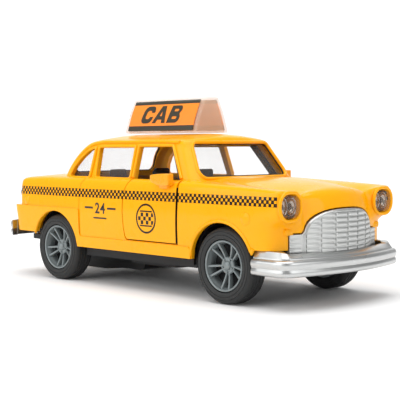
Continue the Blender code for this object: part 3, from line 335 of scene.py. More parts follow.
def cell_box(name, counts, place):
    """A closed box cut into cells, whose points go where place(i, j, k) says."""
    obj = fresh(name, bpy.ops.mesh.primitive_cube_add, size=1)
    edit(obj)
    for axis, count in zip("XYZ", counts):
        for step in range(1, count):
            bpy.ops.mesh.select_all(action="SELECT")
            bpy.ops.mesh.bisect(plane_co=DIRECTIONS[axis] * (step / count - 0.5),
                                plane_no=DIRECTIONS[axis])
    object_mode()
    for vert in obj.data.vertices:
        i, j, k = (round((co + 0.5) * count) for co, count in zip(vert.co, counts))
        vert.co = Vector(place(i, j, k)) * MM
    return settled(obj)


def rounded(points, radius, steps=4):
    """An outline with its corners rounded off."""
    out = []
    points = [Vector(p) for p in points]
    for n, here in enumerate(points):
        before, after = points[n - 1], points[(n + 1) % len(points)]
        a, b = (before - here).normalized(), (after - here).normalized()
        half = a.angle(b) / 2
        reach = min(radius / math.tan(half), (before - here).length * 0.48,
                    (after - here).length * 0.48)
        size = reach * math.tan(half)
        centre = here + (a + b).normalized() * (size / math.sin(half))
        start, end = here + a * reach - centre, here + b * reach - centre
        sweep = start.angle_signed(end)
        for step in range(steps + 1):
            angle = -sweep * step / steps
            turned_by = Matrix.Rotation(angle, 2)
            out.append(tuple(centre + turned_by @ start))
    return out


def rectangle(centre, size):
    (cx, cy), (w, h) = centre, size
    return [(cx - w / 2, cy - h / 2), (cx + w / 2, cy - h / 2),
            (cx + w / 2, cy + h / 2), (cx - w / 2, cy + h / 2)]


def arc(centre, radius, start, end, steps):
    return [(centre[0] + radius * math.cos(math.radians(start + (end - start) * n / steps)),
             centre[1] + radius * math.sin(math.radians(start + (end - start) * n / steps)))
            for n in range(steps + 1)]


def divided(points, length, closed=True):
    """The same outline, cut into short, even steps."""
    out = []
    points = [Vector(p) for p in points]
    for a, b in zip(points, [*points[1:], points[0]] if closed else points[1:]):
        count = max(1, math.ceil((b - a).length / length - 1e-6))
        out += [a.lerp(b, n / count) for n in range(count)]
    return out if closed else [*out, points[-1]]


def grown(outline, by):
    """An outline moved out from itself."""
    points = [Vector(p) for p in outline]
    area = sum(a.x * b.y - b.x * a.y for a, b in zip(points, [*points[1:], points[0]]))
    turn = 1 if area > 0 else -1
    out = []
    for n, here in enumerate(points):
        along = (points[(n + 1) % len(points)] - points[n - 1]).normalized()
        out.append(here + Vector((along.y, -along.x)) * by * turn)
    return out


def tube(name, points, radius, closed=True, sides=8):
    """A round bead along a line of points."""
    points = [Vector(p) for p in points]
    count = len(points)
    rings = []
    normal = None
    for n, here in enumerate(points):
        after = points[(n + 1) % count] if closed or n < count - 1 else here
        before = points[n - 1] if closed or n > 0 else here
        along = (after - before).normalized()
        if normal is None:
            normal = along.orthogonal().normalized()
        normal = (normal - along * normal.dot(along)).normalized()
        side = along.cross(normal)
        rings.append([here + (normal * math.cos(math.tau * s / sides)
                              + side * math.sin(math.tau * s / sides)) * radius
                      for s in range(sides)])
    if closed:
        # The last ring is turned to meet the first.
        twist = min(range(sides), key=lambda s: (rings[-1][s] - rings[0][0]).length)
        if twist:
            share = twist if twist <= sides / 2 else twist - sides
            for n, ring in enumerate(rings):
                shift = round(share * n / count)
                rings[n] = ring[shift:] + ring[:shift]
    return shaded(skinned(name, rings, closed), 60)


def surface_of(obj):
    """What a ray meets on an object."""
    bm = bmesh.new()
    bm.from_mesh(obj.data)
    tree = BVHTree.FromBMesh(bm)
    bm.free()
    return tree


def dropped(tree, points, direction, depth=0.0):
    """Points moved along a direction until they meet a surface, then depth further."""
    direction = Vector(direction)
    out = []
    for point in points:
        hit = tree.ray_cast(Vector(point) * MM, direction)[0]
        if hit is None:
            raise RuntimeError(f"nothing behind {tuple(point)}")
        out.append(hit / MM + direction * depth)
    return out


def finished(obj, finish, replaces=(), body="car"):
    """Gives a piece its finish, its body and the nodes that it stands for."""
    obj.data.materials.clear()
    obj.data.materials.append(FINISHES[finish])
    for face in obj.data.polygons:
        face.material_index = 0
    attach(obj, body)
    if replaces:
        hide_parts(*replaces)
    return obj


# ============================================================================================
# Finishes
# ============================================================================================
class Value:
    """A socket of a finish that sums can be done on."""

    def __init__(self, finish, socket):
        self.finish = finish
        self.socket = socket

    def sum(self, operation, *others):
        return self.finish.node("ShaderNodeMath", {"operation": operation},
                                dict(enumerate((self, *others))))

    def __add__(self, other):
        return self.sum("ADD", other)

    def __radd__(self, other):
        return self.sum("ADD", other)

    def __sub__(self, other):
        return self.sum("SUBTRACT", other)

    def __rsub__(self, other):
        return self.finish.node("ShaderNodeMath", {"operation": "SUBTRACT"}, {0: other, 1: self})

    def __mul__(self, other):
        return self.sum("MULTIPLY", other)

    def __rmul__(self, other):
        return self.sum("MULTIPLY", other)

    def __truediv__(self, other):
        return self.sum("DIVIDE", other)

    def __gt__(self, other):
        return self.sum("GREATER_THAN", other)

    def __lt__(self, other):
        return self.sum("LESS_THAN", other)

    def __abs__(self):
        return self.sum("ABSOLUTE")

    def floor(self):
        return self.sum("FLOOR")

    def between(self, low, high):
        return (self > low) * (self < high)


class Finish:
    """A material, and the one way its nodes are made."""

    def __init__(self, name, colour, roughness, **constants):
        self.material = bpy.data.materials.new(name)
        self.material.use_nodes = True
        self.material.diffuse_color = (*colour, 1)
        self.tree = self.material.node_tree
        self.tree.nodes.clear()
        self.output = self.tree.nodes.new("ShaderNodeOutputMaterial")
        self.shader = self.tree.nodes.new("ShaderNodeBsdfPrincipled")
        self.tree.links.new(self.shader.outputs[0], self.output.inputs["Surface"])
        self.set("Base Color", (*colour, 1))
        self.set("Roughness", roughness)
        for key, value in constants.items():
            self.set(key.replace("_", " ").title().replace("Ior", "IOR"), value)

    def node(self, kind, settings=None, inputs=None, output=0):
        made = self.tree.nodes.new(kind)
        for key, value in (settings or {}).items():
            if key == "stops":
                ramp = made.color_ramp.elements
                for n, (place, colour) in enumerate(value):
                    stop = ramp[n] if n < len(ramp) else ramp.new(place)
                    stop.position, stop.color = place, colour
            else:
                setattr(made, key, value)
        for key, value in (inputs or {}).items():
            if isinstance(value, Value):
                self.tree.links.new(value.socket, made.inputs[key])
            else:
                made.inputs[key].default_value = value
        return Value(self, made.outputs[output])

    def set(self, name, value):
        """Feeds one of the shader's sockets."""
        if isinstance(value, Value):
            self.tree.links.new(value.socket, self.shader.inputs[name])
        else:
            self.shader.inputs[name].default_value = value

    def place(self):
        if not hasattr(self, "coordinates"):
            self.coordinates = self.node("ShaderNodeTexCoord", output="Object")
        return self.coordinates

    def axes(self):
        """Place on the piece, in millimetres, as three values."""
        if not hasattr(self, "split"):
            made = self.node("ShaderNodeSeparateXYZ", inputs={0: self.place()})
            node = made.socket.node
            self.split = tuple(Value(self, socket) * 1000 for socket in node.outputs)
        return self.split

    def stretched(self, scale):
        return self.node("ShaderNodeMapping", inputs={"Vector": self.place(), "Scale": scale})

    def noise(self, size, detail=3.0, stretch=None):
        """Noise whose features are about size millimetres across, or stretched along an axis."""
        where = self.stretched(stretch) if stretch else self.place()
        return self.node("ShaderNodeTexNoise", inputs={
            "Vector": where, "Scale": 1000 / size, "Detail": detail})

    def blend(self, factor, a, b):
        def colour(value):
            return value if isinstance(value, Value) else (*value, 1)[:4]
        return self.node("ShaderNodeMix", {"data_type": "RGBA"},
                         {0: factor, 6: colour(a), 7: colour(b)}, output=2)

    def bump(self, height, depth, strength=1.0):
        """Feeds the normal from a height, whose full rise is depth millimetres."""
        self.set("Normal", self.node("ShaderNodeBump", inputs={
            "Strength": strength, "Distance": depth * MM, "Height": height}))

    def varied(self, base, by, size):
        """Feeds the roughness with a little noise."""
        self.set("Roughness", self.noise(size) * (2 * by) + (base - by))


def shades(colour, by):
    return [tuple(min(1.0, c * k) for c in colour) for k in (1 - by, 1 + by)]


def enamel(name, printed):
    """Glossy baked enamel over a casting, with the printed checks where it has them."""
    paint = bpy.context.scene.cab_paint
    finish = Finish(name, paint.yellow, 0.3, coat_weight=0.35, coat_roughness=0.05,
                    specular_ior_level=0.05)
    low, high = shades(paint.yellow, 0.03)
    colour = finish.blend(finish.noise(16.0, 2.0), low, high)
    gloss = finish.noise(6.0) * 0.08 + 0.24
    if printed:
        x, y, z = finish.axes()
        size = paint.check_size / MM
        outside = (abs(y) > PRINT_Y) * x.between(CHECKS_REAR_X, CHECKS_FRONT_X)
        # Distances, in checks, from the middle of every other column and every other row.
        column = abs((x / size + 1000.5).sum("MODULO", 2.0) - 1)
        row = abs(((z - CHECKS_Z) / size + 1000.5).sum("MODULO", 2.0) - 1)
        checks = ((column.sum("MAXIMUM", row) < CHECK_HALF)
                  + ((1 - column).sum("MAXIMUM", 1 - row) < CHECK_HALF))
        checks = checks * z.between(CHECKS_Z, CHECKS_Z + CHECK_ROWS * size)
        across, up = x - ROUNDEL_X, z - ROUNDEL_Z
        reach = (across * across + up * up).sum("SQRT")
        ring = reach.between(3.85, 4.45)
        within = reach < ROUNDEL_R
        steps = (across / ROUNDEL_CHECK).floor() + (up / ROUNDEL_CHECK + 0.5).floor()
        band = ((steps + 1000).sum("MODULO", 2.0) > 0.5) * (abs(up) < 1.72) * within
        lines = within * (abs(abs(up) - 2.15) < 0.22)
        ink = (checks + ring + band + lines).sum("MINIMUM", 1.0) * outside
        worn = finish.noise(0.5, 4.0) > 0.36
        ink = ink * (worn * 0.12 + 0.88)
        colour = finish.blend(ink, colour, paint.ink)
        gloss = gloss + ink * 0.12
    finish.set("Base Color", colour)
    finish.set("Roughness", gloss)
    finish.bump(finish.noise(6.0, 1.0), 0.02, 0.25)
    return finish.material


def moulded(name, colour, roughness, grain=0.25, depth=0.02, by=0.06, **constants):
    """Moulded plastic or rubber with a fine grain."""
    finish = Finish(name, colour, roughness, **constants)
    low, high = shades(colour, by)
    finish.set("Base Color", finish.blend(finish.noise(5.0, 4.0), low, high))
    finish.varied(roughness, 0.07, 1.5)
    finish.bump(finish.noise(grain, 2.0), depth, 0.6)
    return finish.material


def plated(name, colour, roughness):
    """Bright vacuum plating over plastic, slightly rippled and hazed."""
    finish = Finish(name, colour, roughness, metallic=1.0)
    low, high = shades(colour, 0.05)
    finish.set("Base Color", finish.blend(finish.noise(7.0, 3.0), low, high))
    finish.varied(roughness, 0.06, 2.5)
    finish.bump(finish.noise(1.6, 3.0), 0.02, 0.5)
    return finish.material


def machined(name, colour, roughness):
    """Turned steel, with fine rings about the axles' direction."""
    finish = Finish(name, colour, roughness, metallic=1.0)
    rings = finish.noise(1.0, 4.0, (1.0, 14.0, 1.0))
    low, high = shades(colour, 0.14)
    finish.set("Base Color", finish.blend(rings, low, high))
    finish.set("Roughness", rings * 0.2 + (roughness - 0.1))
    finish.bump(rings, 0.01, 0.4)
    return finish.material


def clear(name, colour, alpha, roughness=0.07):
    """Thin clear plastic, faintly tinted, with moulding haze."""
    finish = Finish(name, colour, roughness, coat_weight=0.6, coat_roughness=0.04, ior=1.49)
    haze = finish.noise(5.0, 3.0)
    low, high = shades(colour, 0.06)
    finish.set("Base Color", finish.blend(haze, low, high))
    finish.set("Alpha", haze * 0.06 + (alpha - 0.03))
    finish.set("Roughness", haze * 0.08 + (roughness - 0.03))
    finish.bump(finish.noise(9.0, 1.0), 0.05, 0.3)
    return finish.material


def ribbed_red(name):
    """A red lens with moulded rings behind its gloss."""
    finish = Finish(name, (0.55, 0.008, 0.01), 0.12, coat_weight=0.8, coat_roughness=0.05)
    x, y, z = finish.axes()
    across, up = abs(y) - TAIL_LAMP_Y, z - TAIL_LAMP_Z
    reach = (across * across + up * up).sum("SQRT")
    waves = (reach * 9.0).sum("SINE") * 0.5 + 0.5
    finish.set("Base Color", finish.blend(waves, (0.36, 0.004, 0.006), (0.72, 0.014, 0.014)))
    finish.bump(waves, 0.05, 0.5)
    return finish.material


def sign_label(name):
    """A printed label: an even colour with a dark bar along its top and its foot."""
    paint = bpy.context.scene.cab_paint
    finish = Finish(name, paint.label, 0.4, coat_weight=0.3, coat_roughness=0.15)
    z = finish.axes()[2]
    foot = SIGN_LOW.z
    bars = (z < foot + 2.35) + (z > foot + 9.1)
    low, high = shades(paint.label, 0.05)
    orange = finish.blend(finish.noise(3.0, 4.0), low, high)
    finish.set("Base Color", finish.blend(bars, orange, SIGN_INK))
    finish.varied(0.38, 0.05, 1.0)
    finish.bump(finish.noise(0.4, 2.0), 0.008, 0.4)
    return finish.material


SIGN_INK = (0.03, 0.026, 0.012)
FINISHES = {}


def make_finishes():
    paint = bpy.context.scene.cab_paint
    FINISHES.update(
        printed_enamel=enamel("printed_enamel", True),
        plain_enamel=enamel("plain_enamel", False),
        amber=moulded("amber_mirror_plastic", (1.0, 0.38, 0.003), 0.28, grain=1.2, depth=0.01,
                      coat_weight=0.4, coat_roughness=0.1, specular_ior_level=0.3),
        black=moulded("black_plastic", (0.009, 0.009, 0.010), 0.46, specular_ior_level=0.3),
        seat=moulded("seat_plastic", (0.010, 0.010, 0.011), 0.52, grain=0.45, depth=0.03,
                     specular_ior_level=0.35),
        rubber=moulded("tyre_rubber", (0.017, 0.018, 0.018), 0.62, grain=0.18, depth=0.02, by=0.15),
        rim=moulded("rim_plastic", paint.rim, 0.36, grain=0.5, depth=0.008, metallic=0.35),
        nylon=moulded("gear_nylon", (0.78, 0.77, 0.72), 0.45, grain=0.6, depth=0.01,
                      subsurface_weight=0.2),
        silver=plated("bumper_plating", (0.58, 0.59, 0.585), 0.3),
        grille=plated("grille_plating", (0.62, 0.63, 0.62), 0.4),
        bright=plated("lamp_plating", (0.40, 0.34, 0.29), 0.16),
        bulb=moulded("amber_bulb", (0.035, 0.012, 0.006), 0.2, grain=0.8, depth=0.01,
                     coat_weight=0.6, coat_roughness=0.05),
        steel=machined("turned_steel", (0.6, 0.6, 0.61), 0.32),
        window=clear("window_plastic", (0.55, 0.51, 0.49), 0.065),
        housing=clear("sign_plastic", (0.98, 0.74, 0.58), 0.3),
        lens=clear("lamp_plastic", (0.6, 0.5, 0.42), 0.07, 0.05),
        red=ribbed_red("red_lens"),
        label=sign_label("sign_print"),
        ink=moulded("black_print", paint.ink, 0.4, grain=0.4, depth=0.005),
        sign_ink=moulded("sign_letters", SIGN_INK, 0.42, grain=0.4, depth=0.005),
    )


# ============================================================================================
# Body surfaces
# ============================================================================================
def along(x, rows):
    """The value at x of straight lines drawn through (x, value) rows."""
    if x <= rows[0][0]:
        return rows[0][1]
    for (x0, v0), (x1, v1) in zip(rows, rows[1:]):
        if x <= x1:
            return v0 + (v1 - v0) * (x - x0) / (x1 - x0)
    return rows[-1][1]


# Rows of the body's cage, outwards from the middle, and its heights. Stations run tail to nose.
BODY_ROWS = (0.0, 4.5, 9.0, 12.4, 14.6, 16.3, 20.4, 24.4)
BODY_LEVELS = (8.0, 11.6, 15.5, 19.5, 22.3, 23.8, 27.4, 30.3)
STATIONS = (-57.4, -53.0, -46.0, -38.7, -31.0, -24.0, -16.0, -8.0, 0.0, 8.0, 15.0, 21.0, 26.0,
            32.0, 38.0, 44.0, 49.0, 53.2, 57.0)
POD_X = 60.15
NOSE_X = 62.85
TAIL_X = -59.5
HOOD_MIDDLE = ((15, 34.6), (21, 34.75), (30, 34.65), (38, 34.35), (44, 34.0), (49, 33.6),
               (53.2, 33.1), (57, 32.4))
HOOD_VALLEY = ((15, 33.9), (21, 33.8), (26, 33.6), (32, 33.0), (38, 32.4), (44, 31.8),
               (49, 31.2), (53.2, 30.4), (57, 29.3))
FENDER_TOP = ((-58, 33.0), (-46, 33.6), (21, 33.7), (30, 33.35), (38, 33.0), (49, 32.5),
              (57, 32.1))
BOOT_CROWN = ((-57.4, 0.2), (-53, 0.7), (-46, 1.0), (-38, 1.1), (0, 1.0))


def side_y(x, z):
    """Half-width of the side at a height: it tucks in below and leans in above."""
    width = HALF - along(x, ((TAIL_X, 0.6), (REAR_AXLE_X, 0.0)))
    return width - (0.6 * ((z - 22) / 10.4) ** 2 if z < 22 else 0.4 * ((z - 22) / 9.0) ** 2)


def nose_x(y):
    return NOSE_X - 4.5 * (min(abs(y), 17.5) / 17.5) ** 2


def lower_tail_x(z):
    return TAIL_X - along(z, ((8.0, 0.6), (15.0, 1.1), (20.4, 2.0), (23.0, 2.8), (24.0, 2.8)))


def top_z(x, row):
    fender = along(x, FENDER_TOP)
    if x < 13:
        return fender + along(x, BOOT_CROWN) * (1 - (BODY_ROWS[row] / 22.5) ** 2)
    middle, valley = along(x, HOOD_MIDDLE), along(x, HOOD_VALLEY)
    share = (0.0, 0.09, 0.34, 0.66, 0.92, 1.0)
    if row <= 5:
        return middle + (valley - middle) * share[row]
    return fender if row == 6 else fender - 0.1


def body_point(i, j, k, grow):
    """A point of the body's cage. grow is 0, or 1 for the fuller lower panels."""
    rows, levels, stations = len(BODY_ROWS) - 1, len(BODY_LEVELS), len(STATIONS) + 1
    side = -1 if j < rows else 1
    row = abs(j - rows)
    outer = row == rows
    at_tail, at_nose, at_top = i == 0, i == stations, k == levels
    y = BODY_ROWS[row]
    x = TAIL_X if at_tail else NOSE_X if at_nose else STATIONS[i - 1]
    swell = 0.42 * grow
    z = top_z(min(max(x, -57.4), 57.0), row) if at_top else BODY_LEVELS[k]
    pod = k >= 5
    if at_nose:
        if row <= 3:
            back = (0, 0, 0, 0, 0, 0.1, 0.5, 1.5, 3.4)[k]
            z = (31.9, 31.8, 31.5, 31.0)[row] if at_top else z
            return nose_x(y) - back, side * y, z
        if row == 4:
            back = (0, 0, 0, 0, 0.1, 0.8, 1.5, 2.3, 3.6)[k]
            return nose_x(y) - back, side * y, 30.0 if at_top else z
        if pod:
            x = POD_X - (0.5 if at_top else 0.0)
            y = (16.3, 20.4, 24.75)[row - 5]
            z = 31.75 if at_top else 31.0 if k == 7 else z
            return x, side * y, z
        x, y = ((58.9, 16.3), (58.0, 19.3), (56.9, 21.9))[row - 5]
        return x, side * y, z
    if at_tail:
        z = z - 1.0 if at_top else z
        x = lower_tail_x(z) if grow else TAIL_X + (0.9 if at_top else 0.15 if k == 7 else 0.0)
        if outer:
            return x + 1.0, side * (23.3 + swell), z
        return x, side * min(y, 22.0), z
    if at_top:
        width = 24.45 if x > 0 else side_y(x, 30.3) - 0.35
        return x, side * (width if outer else y), z
    # On the sides every point is an outer one.
    z = min(z, 30.6)
    width = side_y(x, z) + swell
    if i == 1 and grow:
        x = lower_tail_x(z) + 2.1
    if i >= stations - 2 and not pod:
        x, width = ((53.0, 24.8), (55.5, 23.9))[i - stations + 2]
    return x, side * (width if outer else y), z


def body_solid(name, grow=0):
    counts = (len(STATIONS) + 1, 2 * (len(BODY_ROWS) - 1), len(BODY_LEVELS))
    obj = cell_box(name, counts, lambda i, j, k: body_point(i, j, k, grow))
    return smoothed(obj, bpy.context.scene.cab_sizes.smoothing)


def inner_solid(outer, name, inset, foot, reach):
    """A smaller copy of a closed surface, whose foot is taken down to a height."""
    obj = fattened(copied(outer, name), -inset)
    for vert in obj.data.vertices:
        if vert.co.z < reach * MM:
            vert.co.z = foot * MM
    obj.data.update()
    return obj


REAR_LINE = ((30.0, -38.5), (33.6, -37.8), (36.4, -36.8), (39.2, -35.1), (41.6, -33.0),
             (43.4, -30.6), (44.6, -27.9), (45.4, -24.6))
CABIN_LEVELS = (30.0, 33.4, 36.4, 39.2, 41.6, 43.4)
CABIN_STATIONS = (-22.0, -16.0, -9.0, -2.0, 5.0, 10.0)
CABIN_SHARES = (0.0, 0.34, 0.66, 0.88, 1.0)


def cabin_width(z):
    return 21.7 - 0.33 * (z - BELT_Z)


def screen_x(z, y):
    return 25.4 - 0.70 * (z - BELT_Z) + 1.5 * (1 - (y / 20.0) ** 2)


def rear_x(z, y):
    return along(z, REAR_LINE) - 0.7 * (1 - (y / 19.0) ** 2)


def cabin_point(i, j, k):
    shares, levels = len(CABIN_SHARES) - 1, len(CABIN_LEVELS)
    stations = len(CABIN_STATIONS) + 5
    side = -1 if j < shares else 1
    row = abs(j - shares)
    outer = row == shares
    at_top = k == levels
    z = 45.1 if at_top else CABIN_LEVELS[k]
    width = cabin_width(z)
    y = width * CABIN_SHARES[row]
    if at_top:
        crown = 2.15 * (1 - CABIN_SHARES[row] ** 2)
        if i <= 2:
            z, x = ((43.9, -29.2), (44.7, -27.0), (45.1, -24.4))[i]
            z += crown * (0.25, 0.45, 0.7)[i]
            x -= 0.5 * (1 - CABIN_SHARES[row] ** 2)
        elif i >= stations - 2:
            step = stations - i
            z += crown * (0.45, 0.7, 0.9)[step] - (0.35, 0.05, 0.0)[step]
            x = screen_x(44.6, y) - (0.0, 1.6, 4.6)[step]
        else:
            x = CABIN_STATIONS[i - 3]
            z += crown
        y = (width - 0.15) * CABIN_SHARES[row]
        if outer:
            y = width - (1.0 if i in (0, stations) else 0.15)
        return x, side * y, z
    if i == 0:
        x = rear_x(z, y) + (0.9 if outer else 0)
        return x, side * (y - (1.0 if outer else 0)), z
    if i == stations:
        x = screen_x(z, y) - (0.7 if outer else 0)
        return x, side * (y - (1.1 if outer else 0)), z
    if i <= 2:
        x = rear_x(z, width) + (2.0, 5.0)[i - 1]
    elif i >= stations - 2:
        x = screen_x(z, width) - (2.2, 5.2)[stations - 1 - i]
    else:
        # Near the roof the rearmost column keeps clear of the rear pillar's curve.
        x = CABIN_STATIONS[i - 3]
        if z > 40 and x < -15:
            x = max(x, rear_x(z, width) + 6.5)
    return x, side * (width if outer else y), z


def cabin_solid(name):
    counts = (len(CABIN_STATIONS) + 5, 2 * (len(CABIN_SHARES) - 1), len(CABIN_LEVELS))
    return smoothed(cell_box(name, counts, cabin_point), bpy.context.scene.cab_sizes.smoothing)


# ============================================================================================
# Outlines
# ============================================================================================
FRONT_WINDOW = rounded(((-0.8, 31.0), (19.6, 31.0), (19.4, 33.3), (12.8, 43.1), (-1.5, 43.1)), 0.5)
REAR_WINDOW = rounded(((-19.4, 33.8), (-3.0, 33.8), (-3.9, 43.0), (-20.9, 43.0)), 0.6)
QUARTER_WINDOW = rounded(((-33.0, 33.8), (-22.9, 33.8), (-23.2, 42.9), (-26.2, 41.9),
                          (-29.3, 39.5), (-31.5, 36.9)), 0.6)
WINDSCREEN = rounded(((-18.7, 34.3), (18.7, 34.3), (15.7, 44.1), (-15.7, 44.1)), 1.6)
REAR_SCREEN = rounded(((-17.6, 34.8), (17.6, 34.8), (15.2, 43.3), (-15.2, 43.3)), 1.8)
DOOR_WINDOW_EDGE = ((19.9, 34.0), (13.6, 43.1), (13.1, 43.55), (12.5, 43.6), (-1.5, 43.6),
                    (-2.0, 43.4), (-2.1, 42.8), (-1.5, 34.0))
GUTTER = ((15.2, 44.55), (8.0, 44.7), (-20.0, 44.75), (-24.2, 44.3), (-27.6, 42.9),
          (-30.4, 40.6), (-32.4, 37.6), (-33.4, 34.2))
REAR_DOOR_SEAM = ((-22.6, 33.3), (-23.9, 31.4), (-24.4, 29.4), (-24.3, 15.2))
BOOT_SEAM = rounded(((-40.5, -16.5), (-40.5, 16.5), (-57.2, 15.6), (-57.2, -15.6)), 3.0)
DOOR_LENGTH = 24.6
DOOR_FRONT_X = FRONT_AXLE_X - 17.9
DOOR_REAR_X = DOOR_FRONT_X - DOOR_LENGTH
DOOR_GAP = 0.35
DOOR_FRONT_GAP = 0.9
HINGE_X = DOOR_FRONT_X - DOOR_FRONT_GAP + 4.0
HINGE_Y = HALF - 2.4


def door_outline(gap, front_gap):
    front, rear = DOOR_FRONT_X - front_gap, DOOR_REAR_X + gap
    low, high = 15.2 + gap, 35.1
    return [(front, low), (front + 0.3, high), (rear + 3.1, high), (rear + 2.6, 33.2),
            (rear + 1.1, 31.0), (rear + 0.2, 28.0), (rear, 24.0), (rear + 0.5, 18.6),
            (rear + 1.1, low + 0.7), (rear + 1.8, low)]


def arch_outline(axle_x, radius=ARCH_R):
    front, rear = axle_x + radius - 0.8, axle_x - radius - 0.9
    top = arc((axle_x - 0.8, WHEEL_R), radius, 160, 20, 24)
    return [(rear - 2.3, 5.0), (rear, WHEEL_R), *top, (front, WHEEL_R), (front, 5.0)]


def foot_outline():
    """Everything below the body's lower edge, seen from the side."""
    return [(-75, 3), (75, 3), (75, 15.8), (FRONT_AXLE_X + 2, 15.8),
            (FRONT_AXLE_X - 2, SILL_Z), (REAR_AXLE_X + 2, SILL_Z), (REAR_AXLE_X - 2, 15.0),
            (-75, 15.0)]


GRILLE_FOOT = 14.6
ROW_STEP = 1.36


def grille_outline(grow):
    """An arch between two low shoulders."""
    half, top, low = 14.6 + grow, 26.4 + grow, GRILLE_FOOT - grow
    flank, flank_z = 18.8 + grow, 20.0 + grow
    spring = flank_z - 1.0
    dome = []
    for step in range(1, 20):
        across, up = math.cos(math.pi * step / 20), math.sin(math.pi * step / 20)
        dome.append((half * math.copysign(abs(across) ** 0.75, across),
                     spring + (top - spring) * up ** 0.8))
    return [(flank, low), (flank, flank_z), (half + 0.4, flank_z), *dome,
            (-half - 0.4, flank_z), (-flank, flank_z), (-flank, low)]


LENS = rounded(rectangle((0, 0), (7.0, 6.1)), 2.6)


# ============================================================================================
# Pieces
# ============================================================================================
SIDES = ((-1, "right"), (1, "left"))
SURFACES = {}               # closed surfaces that later pieces are cut from


def side_line(tree, outline, side, depth=0.0):
    """A line drawn on the side of a surface."""
    start = [(u, side * AWAY, v) for u, v in outline]
    return dropped(tree, start, (0, -side, 0), depth)


def end_line(tree, outline, end, depth=0.0):
    """A line drawn on the front of a surface, or on its back where end is -1."""
    start = [(end * 2 * AWAY, u, v) for u, v in outline]
    return dropped(tree, start, (-end, 0, 0), depth)


def lamp_line(side, grow):
    """The headlamp's outline on one side, moved out from itself."""
    return [(side * LAMP_Y + u, LAMP_Z + v) for u, v in grown(LENS, grow)]


